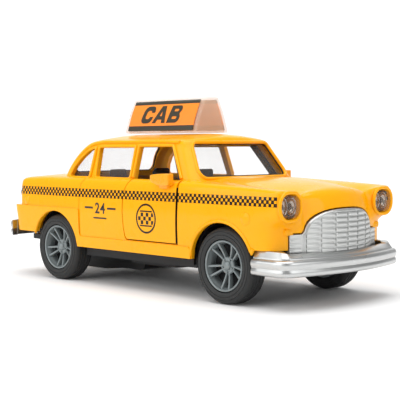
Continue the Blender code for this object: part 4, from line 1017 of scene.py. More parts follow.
class CAB_OT_body(bpy.types.Operator):
    """Painted shell: lower body, fuller lower panels, cabin, openings and shut lines"""
    bl_idname = "cab.body"
    bl_label = "Body shell"

    def execute(self, context):
        sizes = context.scene.cab_sizes
        outer = body_solid("body_outer")
        cabin = cabin_solid("cabin_outer")
        SURFACES.update(outer=copied(outer, "outer_surface"), cabin=copied(cabin, "cabin_surface"))
        body_tree, cabin_tree = surface_of(outer), surface_of(cabin)
        inner = inner_solid(outer, "body_inner", WALL, -2.0, 11.0)
        room = inner_solid(cabin, "cabin_room", WALL, 27.5, 31.5)
        SURFACES.update(inner=copied(inner, "inner_surface"))
        panel = body_solid("lower_panel", grow=1)
        region = rounded(((-75, 3), (26.5, 3), (26.5, 15.0), (-24.3, 15.0), (-24.3, 23.7),
                          (-75, 23.7)), 1.0)
        keep_inside(panel, slab("lower_panel_region", region, "Y", -AWAY, AWAY))
        union(outer, panel, cabin)
        cut(outer, inner, room)
        across = (foot_outline(), arch_outline(FRONT_AXLE_X), arch_outline(REAR_AXLE_X),
                  FRONT_WINDOW, REAR_WINDOW, QUARTER_WINDOW)
        for outline in across:
            cut(outer, slab("opening", outline, "Y", -AWAY, AWAY))
        cut(outer, slab("windscreen_cut", WINDSCREEN, "X", 9, 40),
            slab("rear_screen_cut", REAR_SCREEN, "X", -50, -23),
            slab("grille_cut", grille_outline(0.3), "X", NOSE_X - 8, NOSE_X + 8))
        for side, _ in SIDES:
            self.cut_side(outer, body_tree, side, sizes.seam / MM / 2)
        line = [(u, v, 60) for u, v in divided(BOOT_SEAM, 1.2)]
        line = dropped(body_tree, line, (0, 0, -1), 0.05)
        cut(outer, tube("boot_seam", line, sizes.seam / MM / 2, sides=6))
        outer.name = "painted_shell"
        finished(shaded(outer, 28), "printed_enamel", ["body_shell"])
        self.boot_trim(body_tree)
        self.beads(cabin_tree, sizes.bead / MM)
        self.lips(body_tree, sizes.lip / MM)
        self.gaskets(cabin_tree)
        return {"FINISHED"}

    def cut_side(self, outer, body_tree, side, seam_r):
        """One side's door opening, lamp holes and rear door seam."""
        low, high = sorted((side * 40, side * 22.2))
        cut(outer, slab("door_cut", door_outline(0, 0), "Y", low, high))
        cut(outer, slab("lamp_cut", lamp_line(side, 0.35), "X", POD_X - 3.4, POD_X + 5))
        cut(outer, turned("tail_cut", [(0, -4), (2.25, -4), (2.25, 4), (0, 4)],
                          (TAIL_X, side * TAIL_LAMP_Y, TAIL_LAMP_Z), "X", 32))
        seam = side_line(body_tree, divided(REAR_DOOR_SEAM, 0.8, closed=False), side, 0.05)
        cut(outer, tube("seam_cut", seam, seam_r, closed=False, sides=6))

    def boot_trim(self, body_tree):
        """The boot's handle and a blank plate below it."""
        handle = skinned("boot_handle", [
            [(TAIL_X - out, y, 28.9 + up) for out, up in
             ((-0.6, -0.25), (reach, -0.35), (reach + 0.3, 0.0), (reach, 0.35), (-0.6, 0.25))]
            for y, reach in ((-3.4, -0.3), (-2.8, 0.5), (0.0, 0.75), (2.8, 0.5), (3.4, -0.3))])
        finished(shaded(bevelled(handle, 0.12, 2), 50), "bright")
        middle = (0, 21.4)
        back = end_line(body_tree, [middle], -1)[0].x - 0.95
        plate = slab("plate_blank", rounded(rectangle(middle, (11.0, 4.4)), 0.6), "X", back,
                     back + 1.6)
        finished(shaded(bevelled(plate, 0.2, 2), 40), "plain_enamel")

    def beads(self, cabin_tree, bead):
        """Raised beads round the windows and screens, and the gutters above them."""
        pieces = []
        for side, _ in SIDES:
            for outline in (REAR_WINDOW, QUARTER_WINDOW):
                line = divided(grown(outline, bead * 0.75), BEAD_STEP)
                pieces.append(tube("bead", side_line(cabin_tree, line, side, -0.16), bead))
            for outline, depth, radius in ((DOOR_WINDOW_EDGE, -0.16, bead),
                                           (GUTTER, -0.05, bead * 1.05)):
                line = side_line(cabin_tree, divided(outline, BEAD_STEP, False), side, depth)
                pieces.append(tube("bead", line, radius, False))
        for outline, end, radius in ((WINDSCREEN, 1, bead * 1.1), (REAR_SCREEN, -1, bead)):
            line = divided(grown(outline, bead * 0.7), BEAD_STEP)
            pieces.append(tube("bead", end_line(cabin_tree, line, end, 0.1), radius))
        finished(gathered(pieces, "window_beads"), "plain_enamel")

    def lips(self, body_tree, lip):
        """Rolled arch lips, lamp surrounds, round side markers and the small front signals."""
        pieces = []
        for side, _ in SIDES:
            for axle_x, back, rear_foot, front_foot in ((FRONT_AXLE_X, -0.9, 12.2, 16.2),
                                                        (REAR_AXLE_X, 0.1, 15.4, 12.2)):
                arch = [p for p in arch_outline(axle_x, ARCH_R + 0.35) if p[1] > SILL_Z + 0.3]
                arch = [(arch[0][0] + back, rear_foot), *arch, (arch[-1][0] + 0.6, front_foot)]
                line = side_line(body_tree, divided(arch, BEAD_STEP, False), side, 0.1)
                pieces.append(tube("lip", line, lip, False))
            ring = divided(lamp_line(side, 0.72), 0.7)
            pieces.append(tube("surround", [(POD_X - 0.25, u, v) for u, v in ring], 0.5))
            for x, z, wide in ((FRONT_AXLE_X + 8.8, 24.0, 1.75), (REAR_AXLE_X - 16.9, 25.2, 1.5)):
                pieces.append(self.marker(body_tree, side, x, z, wide))
            middle = (side * 18.9, 20.6)
            front = end_line(body_tree, [middle], 1)[0].x
            signal = slab("signal", rounded(rectangle(middle, (3.0, 1.7)), 0.5), "X",
                          front - 1.2, front + 0.35)
            pieces.append(shaded(bevelled(signal, 0.2, 2)))
        finished(gathered(pieces, "pressed_lips"), "plain_enamel")

    def marker(self, body_tree, side, x, z, wide):
        """A low round boss on the side."""
        y = side_line(body_tree, [(x, z)], side)[0].y
        dome = [(0, -0.4), (wide, -0.4), (wide, 0.0), (wide * 0.94, 0.12), (wide * 0.78, 0.2),
                (wide * 0.5, 0.36), (0, 0.42)]
        marker = turned("marker", dome, (0, 0, 0), "Y", 28)
        turn = Matrix.Rotation(0 if side > 0 else math.pi, 4, "Z")
        marker.data.transform(Matrix.Translation(Vector((x, y, z)) * MM) @ turn)
        return shaded(marker, 50)

    def gaskets(self, cabin_tree):
        """Dark rubber just inside the two screens."""
        pieces = []
        for outline, end in ((WINDSCREEN, 1), (REAR_SCREEN, -1)):
            line = end_line(cabin_tree, divided(grown(outline, -0.12), BEAD_STEP), end, 0.75)
            pieces.append(tube("gasket", line, 0.3, sides=6))
        finished(gathered(pieces, "screen_gaskets"), "black")


class CAB_OT_doors(bpy.types.Operator):
    """Front doors with their hinge arms and pins, the printed numbers and the wing mirrors"""
    bl_idname = "cab.doors"
    bl_label = "Doors and mirrors"

    ARM = ((-7.2, -1.8), (-5.4, -1.8), (-5.0, 1.0), (-4.2, 1.9), (-2.4, 1.9), (-0.5, -0.75),
           (0.9, -0.6), (0.9, 0.7), (-1.6, 2.9), (-4.7, 2.9), (-6.2, 1.5))

    def execute(self, context):
        door = copied(SURFACES["outer"], "door")
        region = door_outline(DOOR_GAP, DOOR_FRONT_GAP)
        keep_inside(door, slab("door_region", region, "Y", -AWAY, -22.35))
        cut(door, copied(SURFACES["inner"], "door_hollow"))
        outline = [(HINGE_X + ahead, inboard - HINGE_Y) for ahead, inboard in self.ARM]
        arm = slab("arm", outline, "Z", 19.9, 26.1)
        pin = turned("pin", [(0, 17.5), (0.5, 17.5), (0.7, 17.7), (0.7, 28.3), (0.5, 28.5),
                             (0, 28.5)], (HINGE_X, -HINGE_Y, 0), "Z", 20)
        union(door, arm, pin)
        mirror = self.mirror()
        for side, word in SIDES:
            made = copied if side < 0 else mirrored
            shell, head = made(door, f"door_{word}"), made(mirror, f"wing_mirror_{word}")
            finished(shaded(shell, 28), "printed_enamel", [f"front_door_{word}"], f"door_{word}")
            finished(shaded(head, 40), "amber", [f"door_mirror_{word}"], f"door_{word}")
            # A black strip on each door's front edge: painted shade for the shadow in the gap.
            finished(self.gap_shade_strip(side, word), "black", body=f"door_{word}")
            self.number(side, word)
        bpy.data.objects.remove(door)
        bpy.data.objects.remove(mirror)
        return {"FINISHED"}

    def gap_shade_strip(self, side, word):
        """A dark strip along the door's front edge: painted shade for the shadow inside the door's
        front gap.
        """
        edge = DOOR_FRONT_X - DOOR_FRONT_GAP
        rings = []
        for z in (15.7, 18.0, 20.0, 22.0, 24.0, 26.0, 28.0, 30.0, 31.5):
            out = side_y(edge, z) - 0.12
            rings.append([(edge - 0.1, side * y, z) for y in (out - 1.2, out)]
                         + [(edge + 0.25, side * y, z) for y in (out, out - 1.2)])
        return skinned(f"door_gap_shade_{word}", rings)

    def mirror(self):
        """A tapered head, fuller towards the front, on a short foot."""
        x = DOOR_FRONT_X - 5.1

        def place(i, j, k):
            ahead = (-4.6, -3.9, -0.6, 2.6, 3.3)[i]
            out = (-24.3, -24.8, -26.4, -26.95)[j]
            low = (33.6, 33.0, 31.9, 32.0, 32.4)[i]
            high = (34.9, 35.2, 35.5, 35.6, 35.5)[i]
            up = low + (high - low) * (0.0, 0.16, 0.84, 1.0)[k]
            if i in (0, 4):
                out += (-25.6 - out) * 0.15
            return x + ahead, out, up

        head = smoothed(cell_box("mirror", (4, 3, 3), place), 2)
        foot = slab("mirror_foot", rounded(((x - 1.5, 31.2), (x + 1.7, 31.2), (x + 2.2, 33.4),
                                            (x - 2.0, 33.4)), 0.5), "Y", -25.7, -24.1)
        return union(head, bevelled(foot, 0.3))

    def number(self, side, word):
        """A rear door's fleet number between short lines, a print's thickness proud."""
        text = fresh("number", bpy.ops.object.text_add)
        text.data.body = "24"
        text.data.size, text.data.offset, text.data.space_character = 0.0046, 0.00009, 1.15
        text.data.align_x = "CENTER"
        text.data.extrude = 0.002
        bpy.ops.object.convert(target="MESH")
        number = started("number")
        turn = Matrix.Rotation(math.pi / 2, 4, "X")
        if side > 0:
            turn = Matrix.Rotation(math.pi, 4, "Z") @ turn
        place = Matrix.Translation(Vector((-13.7, side * HALF, 22.7)) * MM)
        number.data.transform(place @ turn)
        pieces = [settled(number)]
        for low, high, z, thick in ((-21.3, -17.2, 24.3, 0.6), (-10.2, -6.1, 24.3, 0.6),
                                    (-16.9, -10.5, 21.2, 0.45)):
            outline = rounded(rectangle(((low + high) / 2, z), (high - low, thick)), 0.2, 2)
            pieces.append(slab("dash", outline, "Y", side * HALF - 2, side * HALF + 2))
        low, high = sorted((side * 24.6, side * 30))
        for piece in pieces:
            keep_inside(piece, fattened(copied(SURFACES["outer"], "skin"), 0.05))
            keep_inside(piece, block("near", (-30, low, 10), (0, high, 30)))
        finished(shaded(gathered(pieces, f"door_number_{word}")), "ink")


class CAB_OT_glazing(bpy.types.Operator):
    """The clear moulding behind the screens and the rear windows"""
    bl_idname = "cab.glazing"
    bl_label = "Glazing"

    def execute(self, context):
        glass = inner_solid(SURFACES["cabin"], "clear_moulding", WALL + 0.1, 31.9, 31.5)
        hollow = inner_solid(SURFACES["cabin"], "glass_hollow", WALL + 0.95, 26.0, 31.5)
        cut(glass, hollow)
        clear_way = ((-2.6, 25.0), (17.4, 25.0), (17.0, 33.8), (12.0, 43.6), (12.0, 50.0),
                     (-2.6, 50.0))
        for side, _ in SIDES:
            low, high = sorted((side * 13.5, side * AWAY))
            cut(glass, slab("window_way", clear_way, "Y", low, high))
        finished(shaded(glass, 35), "window", ["glazing"])
        return {"FINISHED"}


def bumper_line(front, half, wrap_x, bow, corner=5.0):
    """Plan of a wrap-round bumper's face, from its right end to its left, with its normals."""
    straight = half - corner
    right = [(wrap_x + (front - bow - corner - wrap_x) * n / 3, -half) for n in range(3)]
    right += [(x, -y) for x, y in arc((front - bow - corner, straight), corner, 90, 18, 9)]
    middle = [(front - bow * (y / straight) ** 2, y)
              for y in (straight * n / 10 for n in range(-9, 10))]
    line = [*right, *middle, *[(x, -y) for x, y in reversed(right)]]
    out = []
    for n, (x, y) in enumerate(line):
        a, b = Vector(line[max(n - 1, 0)]), Vector(line[min(n + 1, len(line) - 1)])
        tangent = (b - a).normalized()
        out.append((Vector((x, y)), Vector((tangent.y, -tangent.x))))
    return out


def bumper(name, line, section, turn=1):
    """A bar along a line. Its section may change with how far the line has turned sideways."""
    rings = []
    for at, normal in line:
        here = section(abs(normal.y)) if callable(section) else section
        rings.append([(turn * (at.x + normal.x * out), at.y + normal.y * out, z)
                      for out, z in here])
    return bevelled(skinned(name, rings), 0.12, 2, 50)


class CAB_OT_bumpers(bpy.types.Operator):
    """Plated front and rear bumpers, with their grooves and the apron above the front one"""
    bl_idname = "cab.bumpers"
    bl_label = "Bumpers"

    def execute(self, context):
        low, high = node_box("front_bumper")
        z = low.z
        section = [(-1.8, z), (-0.9, z), (-0.4, z + 0.12), (-0.12, z + 0.45), (0.0, z + 0.95),
                   (-0.05, z + 1.45), (-0.22, z + 1.8), (-0.3, z + 2.0), (-0.2, z + 2.25),
                   (0.0, z + 2.7), (0.06, z + 3.3), (0.0, z + 3.75), (-0.25, z + 4.15),
                   (-0.55, z + 4.38), (-1.0, z + 4.5), (-1.8, z + 4.5)]
        line = bumper_line(high.x - 0.06, high.y - 0.06, low.x, 3.0)
        front = bumper("front_bumper_bar", line, section)

        def apron_section(sideways):
            top, back = z + 5.5 + 1.0 * sideways, -1.7 + 1.1 * sideways
            return [(-3.0, z + 3.3), (0.1, z + 3.3), (0.1, z + 4.7), (-0.1, z + 4.95), (back, top),
                    (back - 0.4, top + 0.05), (-3.0, top + 0.05)]

        apron_line = bumper_line(high.x - 1.3, high.y - 1.1, low.x + 0.1, 3.0, 4.4)
        apron = bumper("front_apron", apron_line, apron_section)
        union(front, apron)
        finished(shaded(front, 40), "silver", ["front_bumper"])
        low, high = node_box("rear_bumper")
        z = low.z
        section = [(-2.0, z), (-0.8, z), (-0.3, z + 0.2), (-0.05, z + 0.7), (0.0, z + 1.4),
                   (-0.1, z + 1.9), (-0.45, z + 2.2), (-0.12, z + 2.5), (0.0, z + 3.1),
                   (0.0, z + 4.0), (-0.15, z + 4.6), (-0.5, z + 5.0), (-1.1, z + 5.2),
                   (-2.0, z + 5.2)]
        line = bumper_line(-low.x, high.y, -high.x, 1.0, 3.6)
        rear = settled(bumper("rear_bumper_bar", line, section, turn=-1))
        finished(shaded(rear, 40), "silver", ["rear_bumper"])
        return {"FINISHED"}


class CAB_OT_grille(bpy.types.Operator):
    """The arched grille: a recessed plate, rows of raised cells and a round rim"""
    bl_idname = "cab.grille"
    bl_label = "Grille"

    def execute(self, context):
        pieces = [slab("plate", grille_outline(-0.1), "X", -1.2, -0.28)]
        cell = bevelled(block("cell", (-0.8, -2.14, -0.52), (0.12, 2.14, 0.52)), 0.26, 2)
        cells = []
        for across in (-12.15, -7.3, -2.43, 2.43, 7.3, 12.15):
            for row in range(9):
                move = Vector((0, across, GRILLE_FOOT + 0.72 + ROW_STEP * row)) * MM
                cells.append(copied(cell, "cell", Matrix.Translation(move)))
        bpy.data.objects.remove(cell)
        cells = gathered(cells, "cells")
        dome = [p for p in grille_outline(-0.55) if abs(p[0]) < 14.1]
        dome = [(dome[0][0], 14.7), *dome, (dome[-1][0], 14.7)]
        keep_inside(cells, slab("arch_inside", dome, "X", -3, 3))
        pieces.append(cells)
        rib = bevelled(block("rib", (-0.8, -1.75, -0.5), (0.0, 1.75, 0.5)), 0.22, 2)
        for side, _ in SIDES:
            for row in range(4):
                move = Vector((0, side * 16.9, GRILLE_FOOT + 0.72 + ROW_STEP * row)) * MM
                pieces.append(copied(rib, "rib", Matrix.Translation(move)))
        bpy.data.objects.remove(rib)
        arch = [p for p in grille_outline(-0.45) if abs(p[0]) < 14.9 and p[1] > 14.9]
        arch = [(arch[0][0], 14.9), *arch, (arch[-1][0], 14.9)]
        pieces.append(tube("rim", [(-0.35, u, v) for u, v in divided(arch, 0.9, False)], 0.34,
                           closed=False))
        grille = gathered(pieces, "grille_plating")
        edit(grille)
        for step in range(-9, 10):
            bpy.ops.mesh.select_all(action="SELECT")
            bpy.ops.mesh.bisect(plane_co=(0, step * 2.03 * MM, 0), plane_no=(0, 1, 0))
        object_mode()
        for vert in grille.data.vertices:
            vert.co.x += (nose_x(vert.co.y / MM) + 0.12) * MM
        finished(shaded(grille, 35), "grille", ["grille"])
        return {"FINISHED"}


class CAB_OT_lamps(bpy.types.Operator):
    """Headlamps: clear covers over twin round bowls. Tail lamps: domed red lenses"""
    bl_idname = "cab.lamps"
    bl_label = "Lamps"

    BOWL = ((0, -0.75), (0.5, -0.7), (1.0, -0.5), (1.4, -0.12), (1.55, 0.35), (1.72, 0.42),
            (1.78, 0.3), (1.78, -0.9), (0, -0.9))
    BULB = ((0, -0.8), (0.7, -0.8), (0.72, -0.5), (0.66, -0.2), (0.5, 0.05), (0.25, 0.2),
            (0, 0.24))
    DOME = ((0, 1.6), (1.88, 1.6), (1.88, -0.25), (1.75, -0.5), (1.3, -0.72), (0.7, -0.84),
            (0, -0.88))
    BEZEL = ((2.05, 0.9), (2.05, -0.35), (2.2, -0.55), (2.45, -0.6), (2.62, -0.4), (2.62, 0.9))

    def execute(self, context):
        for side, word in SIDES:
            self.headlamp(side, word)
            at = (TAIL_X, side * TAIL_LAMP_Y, TAIL_LAMP_Z)
            lens = turned(f"tail_lens_{word}", self.DOME, at, "X", 40)
            finished(shaded(lens, 40), "red", [f"tail_lamp_{word}"])
            finished(shaded(turned(f"tail_bezel_{word}", self.BEZEL, at, "X", 40), 40), "bright")
        return {"FINISHED"}

    def headlamp(self, side, word):
        """A clear cover over a plate with two bowls, each a little taller than wide."""
        outline = lamp_line(side, -0.05)
        lens = slab(f"headlamp_cover_{word}", outline, "X", POD_X - 1.1, POD_X + 0.28)
        finished(shaded(bevelled(lens, 0.5, 4, 60), 50), "lens", [f"headlamp_lens_{word}"])
        pieces, bulbs = [slab("lamp_back", outline, "X", POD_X - 3.1, POD_X - 2.5)], []
        tall = (Matrix.Translation(Vector((0, 0, LAMP_Z)) * MM)
                @ Matrix.Diagonal((1.0, 1.0, 1.4, 1.0))
                @ Matrix.Translation(Vector((0, 0, -LAMP_Z)) * MM))
        for across in (-1.72, 1.72):
            at = (POD_X - 1.75, side * LAMP_Y + across, LAMP_Z)
            for shape, pile in ((self.BOWL, pieces), (self.BULB, bulbs)):
                made = turned("bowl", shape, at, "X", 36)
                made.data.transform(tall)
                pile.append(shaded(made, 40))
        bowls = gathered(pieces, f"headlamp_bowls_{word}")
        finished(shaded(bowls, 40), "bright", [f"headlamp_reflector_{word}"])
        finished(gathered(bulbs, f"headlamp_bulbs_{word}"), "bulb")


class CAB_OT_interior(bpy.types.Operator):
    """Seats, dashboard and floor, and the steering wheel"""
    bl_idname = "cab.interior"
    bl_label = "Interior"

    def seat(self, outline, low, high, soft):
        return bevelled(slab("seat", outline, "Y", low, high), soft, 4, 40)

    def execute(self, context):
        low, high = node_box("interior_tub")
        back_x = REAR_AXLE_X + 28.5     # the floor starts ahead of the motor
        bench = node_box("motor_case_left")[1].z + 0.45
        pieces = [block("floor", (back_x, -18.55, low.z), (high.x - 1.3, 18.55, low.z + 1.2))]
        for side, _ in SIDES:
            a, b = sorted((side * 17.45, side * 18.55))
            pieces.append(block("wall", (back_x + 0.4, a, low.z + 0.3), (high.x - 1.6, b, 19.0)))
            pieces += self.front_seat(side * 9.6)
        pieces += self.rear_bench(bench)
        pieces.append(block("riser", (back_x + 0.1, -15.0, low.z + 0.4),
                            (back_x + 1.0, 15.0, bench + 0.6)))
        pieces.append(self.dashboard())
        # Dark strips inside the windscreen pillars: painted shade.
        pieces += [self.pillar_shade_strip(side) for side, _ in SIDES]
        tub = gathered(pieces, "seats_and_dash")
        finished(shaded(tub, 40), "seat", ["interior_tub"])
        self.wheel()
        return {"FINISHED"}

    def front_seat(self, middle):
        """A front seat, and the headrests on it and behind it."""
        cushion = [(-1.3, 14.0), (9.6, 14.0), (10.0, 20.2), (9.2, 21.4), (4.0, 20.9), (1.0, 20.2)]
        back = [(-3.1, 20.4), (0.9, 20.2), (0.2, 25.0), (-1.0, 31.6), (-3.4, 31.8), (-3.4, 25.0)]
        pieces = [self.seat(outline, middle - 6.5, middle + 6.5, 0.9)
                  for outline in (cushion, back)]
        for x, z, tall, foot in ((-2.4, 33.7, 4.4, 30.5), (-23.4, 33.6, 4.6, 28.5)):
            rest = rounded(rectangle((x, z), (1.9, tall)), 0.6, 2)
            pieces.append(self.seat(rest, middle - 3.0, middle + 3.0, 0.6))
            pieces.append(block("post", (x - 0.4, middle - 1.4, foot),
                                (x + 0.4, middle + 1.4, 32.4)))
        return pieces

    def rear_bench(self, foot):
        """The rear seat's back and cushion, over the motor."""
        back = [(-27.4, foot), (-23.4, foot), (-21.4, foot + 2.0), (-22.6, 30.4), (-25.6, 30.6)]
        cushion = [(-24.5, foot), (-10.6, foot), (-10.2, foot + 2.0), (-11.4, foot + 2.4),
                   (-22.0, foot + 1.7), (-24.5, foot + 1.7)]
        return [self.seat(back, -15.1, 15.1, 0.8), self.seat(cushion, -15.1, 15.1, 0.7)]

    def dashboard(self):
        """A dashboard with two round recesses for its dials."""
        x = DOOR_FRONT_X - 1.0
        dash = self.seat([(x - 3.5, 14.0), (x - 0.5, 14.0), (x + 0.8, 30.3), (x - 2.4, 31.0),
                          (x - 4.8, 28.8), (x - 4.1, 26.2), (x - 2.2, 24.6)], -17.1, 17.1, 0.5)
        lean = Matrix.Rotation(math.radians(28), 4, "Y")
        for side, _ in SIDES:
            dial = turned("dial", [(0, 0), (1.9, 0), (1.9, 3.0), (0, 3.0)], (0, 0, 0), "X", 28)
            place = Vector((x - 6.9, 9.6 + side * 2.3, 29.0)) * MM
            dial.data.transform(Matrix.Translation(place) @ lean)
            cut(dash, settled(dial))
        return dash

    def pillar_shade_strip(self, side):
        """A dark strip on the inner edge of a windscreen pillar: painted shade for the pillar's
        shaded inside face.
        """
        rings = []
        for z in (33.2, 35.5, 38.0, 40.5, 43.4):
            x = 19.9 - (z - 33.2) * 0.655
            back = x - 2.3
            out = cabin_width(z) - WALL - 0.1
            rings.append([(back, side * (out - 0.8), z), (x, side * (out - 0.8), z),
                          (x + 0.4, side * out, z), (back, side * out, z)])
        return skinned("pillar_shade_strip", rings)

    def wheel(self):
        rim = fresh("rim", bpy.ops.mesh.primitive_torus_add, major_radius=3.0 * MM,
                    minor_radius=0.38 * MM, major_segments=40, minor_segments=10)
        hub = turned("hub", [(0, -0.4), (0.8, -0.4), (0.95, -0.1), (0.8, 0.3), (0, 0.38)],
                     (0, 0, 0), "Z", 20)
        spokes = []
        for angle in (90, 210, 330):
            spoke = bevelled(block("spoke", (0.4, -0.3, -0.22), (2.9, 0.3, 0.18)), 0.1)
            spoke.data.transform(Matrix.Rotation(math.radians(angle), 4, "Z"))
            spokes.append(spoke)
        wheel = gathered([rim, hub, *spokes], "driving_wheel")
        low, high = node_box("steering_wheel")
        centre = (low + high) / 2 * MM
        wheel.data.transform(Matrix.Translation(centre)
                             @ Matrix.Rotation(math.radians(-62), 4, "Y"))
        finished(shaded(wheel, 50), "black", ["steering_wheel"])


class CAB_OT_wheels(bpy.types.Operator):
    """Tyres with ringed walls and grooved treads, and dished rims with ten spokes"""
    bl_idname = "cab.wheels"
    bl_label = "Wheels"

    def tyre(self):
        r = WHEEL_R
        wall = [(7.3, 2.9), (7.42, 3.25), (7.75, 3.42), (8.1, 3.5), (8.42, 3.5), (8.5, 3.36),
                (8.62, 3.36), (8.7, 3.5), (9.3, 3.47), (9.38, 3.32), (9.5, 3.31), (9.58, 3.4),
                (9.95, 3.2), (10.25, 2.88), (10.46, 2.5), (10.56, 2.15)]
        tread = []
        for middle in (1.7, 0.57, -0.57, -1.7):
            tread += [(r, middle + 0.3), (r - 0.22, middle + 0.2), (r - 0.22, middle - 0.2),
                      (r, middle - 0.3)]
        inner_wall = [(radius, -out) for radius, out in reversed(wall)]
        return turned("tyre", [*wall, *tread, *inner_wall], (0, 0, 0), "Y", 96)

    def rim(self):
        barrel = [(7.1, 2.7), (7.12, 3.0), (7.0, 3.18), (6.75, 3.2), (6.55, 3.05), (6.48, 2.7),
                  (6.42, 2.2), (6.28, 1.9), (6.2, 1.0), (6.2, -3.1), (7.1, -3.1)]
        pieces = [turned("barrel", barrel, (0, 0, 0), "Y", 80)]
        hub = [(0, -2.9), (2.0, -2.9), (2.05, 0.6), (2.4, 0.8), (2.45, 1.25), (2.2, 1.5),
               (1.35, 1.5), (1.3, 1.62), (1.15, 1.95), (0.8, 2.16), (0, 2.24)]
        pieces.append(turned("hub", hub, (0, 0, 0), "Y", 40))

        def spoke_point(i, j, k):
            out = (1.9, 3.2, 4.8, 6.6)[i]
            face = (1.35, 1.55, 1.95, 2.6)[i]
            half = (0.36, 0.4, 0.44, 0.5)[i]
            if k == 1:
                half *= 0.62
            return out, face - (1.3 if k == 0 else 0.0), (j * 2 - 1) * half

        spoke = bevelled(cell_box("spoke", (3, 1, 1), spoke_point), 0.12, 2, 30)
        for pair in range(5):
            for turn in (-1, 1):
                angle = math.tau * pair / 5 + turn * math.radians(12.5) + math.radians(90)
                pieces.append(copied(spoke, "spoke", Matrix.Rotation(angle, 4, "Y")))
        bpy.data.objects.remove(spoke)
        for nut in range(5):
            angle = math.tau * (nut + 0.5) / 5 + math.radians(90)
            outline = [(1.82 * math.cos(angle) + 0.34 * math.cos(math.tau * n / 6),
                        1.82 * math.sin(angle) + 0.34 * math.sin(math.tau * n / 6))
                       for n in range(6)]
            pieces.append(bevelled(slab("nut", outline, "Y", 1.3, 1.85), 0.08, 1))
        return gathered(pieces, "rim")

    def execute(self, context):
        # A disc behind the spokes: the rim's back. It is painted black as the shade seen between
        # the spokes.
        spoke_shade_disc = [(0, -0.9), (6.25, -0.9), (6.25, -0.3), (5.6, -0.35), (3.2, -0.6), (1.9, -0.35),
                   (0, -0.35)]
        spoke_shade_disc = turned("spoke_shade_disc", spoke_shade_disc, (0, 0, 0), "Y", 48)
        for source, part, finish in ((self.tyre(), "tyre", "rubber"),
                                     (spoke_shade_disc, "rim_shade_disc", "black"), (self.rim(), "rim", "rim")):
            shaded(source, 35)
            for end, axle_x in (("front", FRONT_AXLE_X), ("rear", REAR_AXLE_X)):
                for side, word in SIDES:
                    turn = Matrix.Rotation(math.pi if side < 0 else 0, 4, "Z")
                    centre = Vector((axle_x, side * TYRE_MIDDLE_Y, WHEEL_R)) * MM
                    piece = copied(source, f"{end}_{word}_{part}",
                                   Matrix.Translation(centre) @ turn)
                    stands_for = () if part == "rim_shade_disc" else [f"{part}_{end}_{word}"]
                    finished(piece, finish, stands_for, f"{end}_wheels")
            bpy.data.objects.remove(source)
        return {"FINISHED"}


SIGN_TALL = 11.0
SIGN_WALL = 0.9


class CAB_OT_sign(bpy.types.Operator):
    """The roof sign: a clear bowed housing with a printed label and letters on each side"""
    bl_idname = "cab.sign"
    bl_label = "Roof sign"

    def half(self, z):
        """Half-width at a height above the roof: a straight taper, bowed out in the middle."""
        t = max(0.0, min(1.0, z / SIGN_TALL))
        return 6.9 + (2.6 - 6.9) * t + 0.45 * 4 * t * (1 - t)

    def section(self, inset, low, high):
        heights = [low + (high - low) * n / 12 for n in range(13)]
        right = [(self.half(z) - inset, SIGN_LOW.z + z) for z in heights]
        return right + [(-y, z) for y, z in reversed(right)]

    def execute(self, context):
        x0, x1 = SIGN_LOW.x, SIGN_HIGH.x
        case = bevelled(slab("sign_case", self.section(0, 0, SIGN_TALL), "X", x0, x1), 0.55, 3, 45)
        cut(case, slab("sign_room", self.section(SIGN_WALL, -1.0, SIGN_TALL - SIGN_WALL), "X",
                       x0 + SIGN_WALL, x1 - SIGN_WALL))
        finished(shaded(case, 35), "housing", ["sign_housing"])
        heights = [0.75 + 9.5 * n / 10 for n in range(11)]
        for side, word in SIDES:
            def face(extra):
                return [(side * (self.half(z) + extra), SIGN_LOW.z + z) for z in heights]
            outline = face(0.42) + face(0.1)[::-1]
            label = slab(f"sign_print_{word}", outline, "X", x0 + 1.7, x1 - 1.7)
            finished(shaded(bevelled(label, 0.08, 1), 35), "label", [f"sign_label_{word}"])
            self.letters(side, word, (x0 + x1) / 2, face)
        return {"FINISHED"}

    def letters(self, side, word, middle, face):
        """Three bold leaning capitals, each an outline with its openings cut out."""
        def letter(start, outline, *openings):
            def leaning(points):
                return [(middle - side * (start + u + 0.22 * v), SIGN_LOW.z + 3.2 + v)
                        for u, v in points]
            shape = slab("letter", leaning(outline), "Y", -20, 20)
            for opening in openings:
                cut(shape, slab("opening", leaning(opening), "Y", -25, 25))
            return shape

        high = 5.4
        c_bowl = rounded(rectangle((2.6, high / 2), (5.2, high)), 1.7)
        c_room = rounded(rectangle((2.7, high / 2), (2.2, 2.7)), 0.8)
        b_body = [(0, 0), *arc((3.8, 1.45), 1.45, -90, 60, 6), *arc((3.7, 4.1), 1.3, -50, 90, 6),
                  (0, high)]
        pieces = [
            letter(-9.9, c_bowl, c_room, rectangle((4.4, high / 2), (3.0, 1.3))),
            letter(-4.2, [(0, 0), (1.6, 0), (2.0, 1.1), (4.0, 1.1), (4.4, 0), (6.0, 0),
                          (3.95, high), (2.05, high)], [(2.45, 2.2), (3.55, 2.2), (3.0, 3.8)]),
            letter(2.6, b_body, rounded(rectangle((2.75, 1.6), (2.2, 0.85)), 0.4),
                   rounded(rectangle((2.65, 3.95), (2.0, 0.8)), 0.4)),
        ]
        for piece in pieces:
            keep_inside(piece, slab("skin", face(0.5) + face(0.3)[::-1], "X", middle - 15,
                                    middle + 15))
        finished(shaded(gathered(pieces, f"sign_letters_{word}")), "sign_ink")


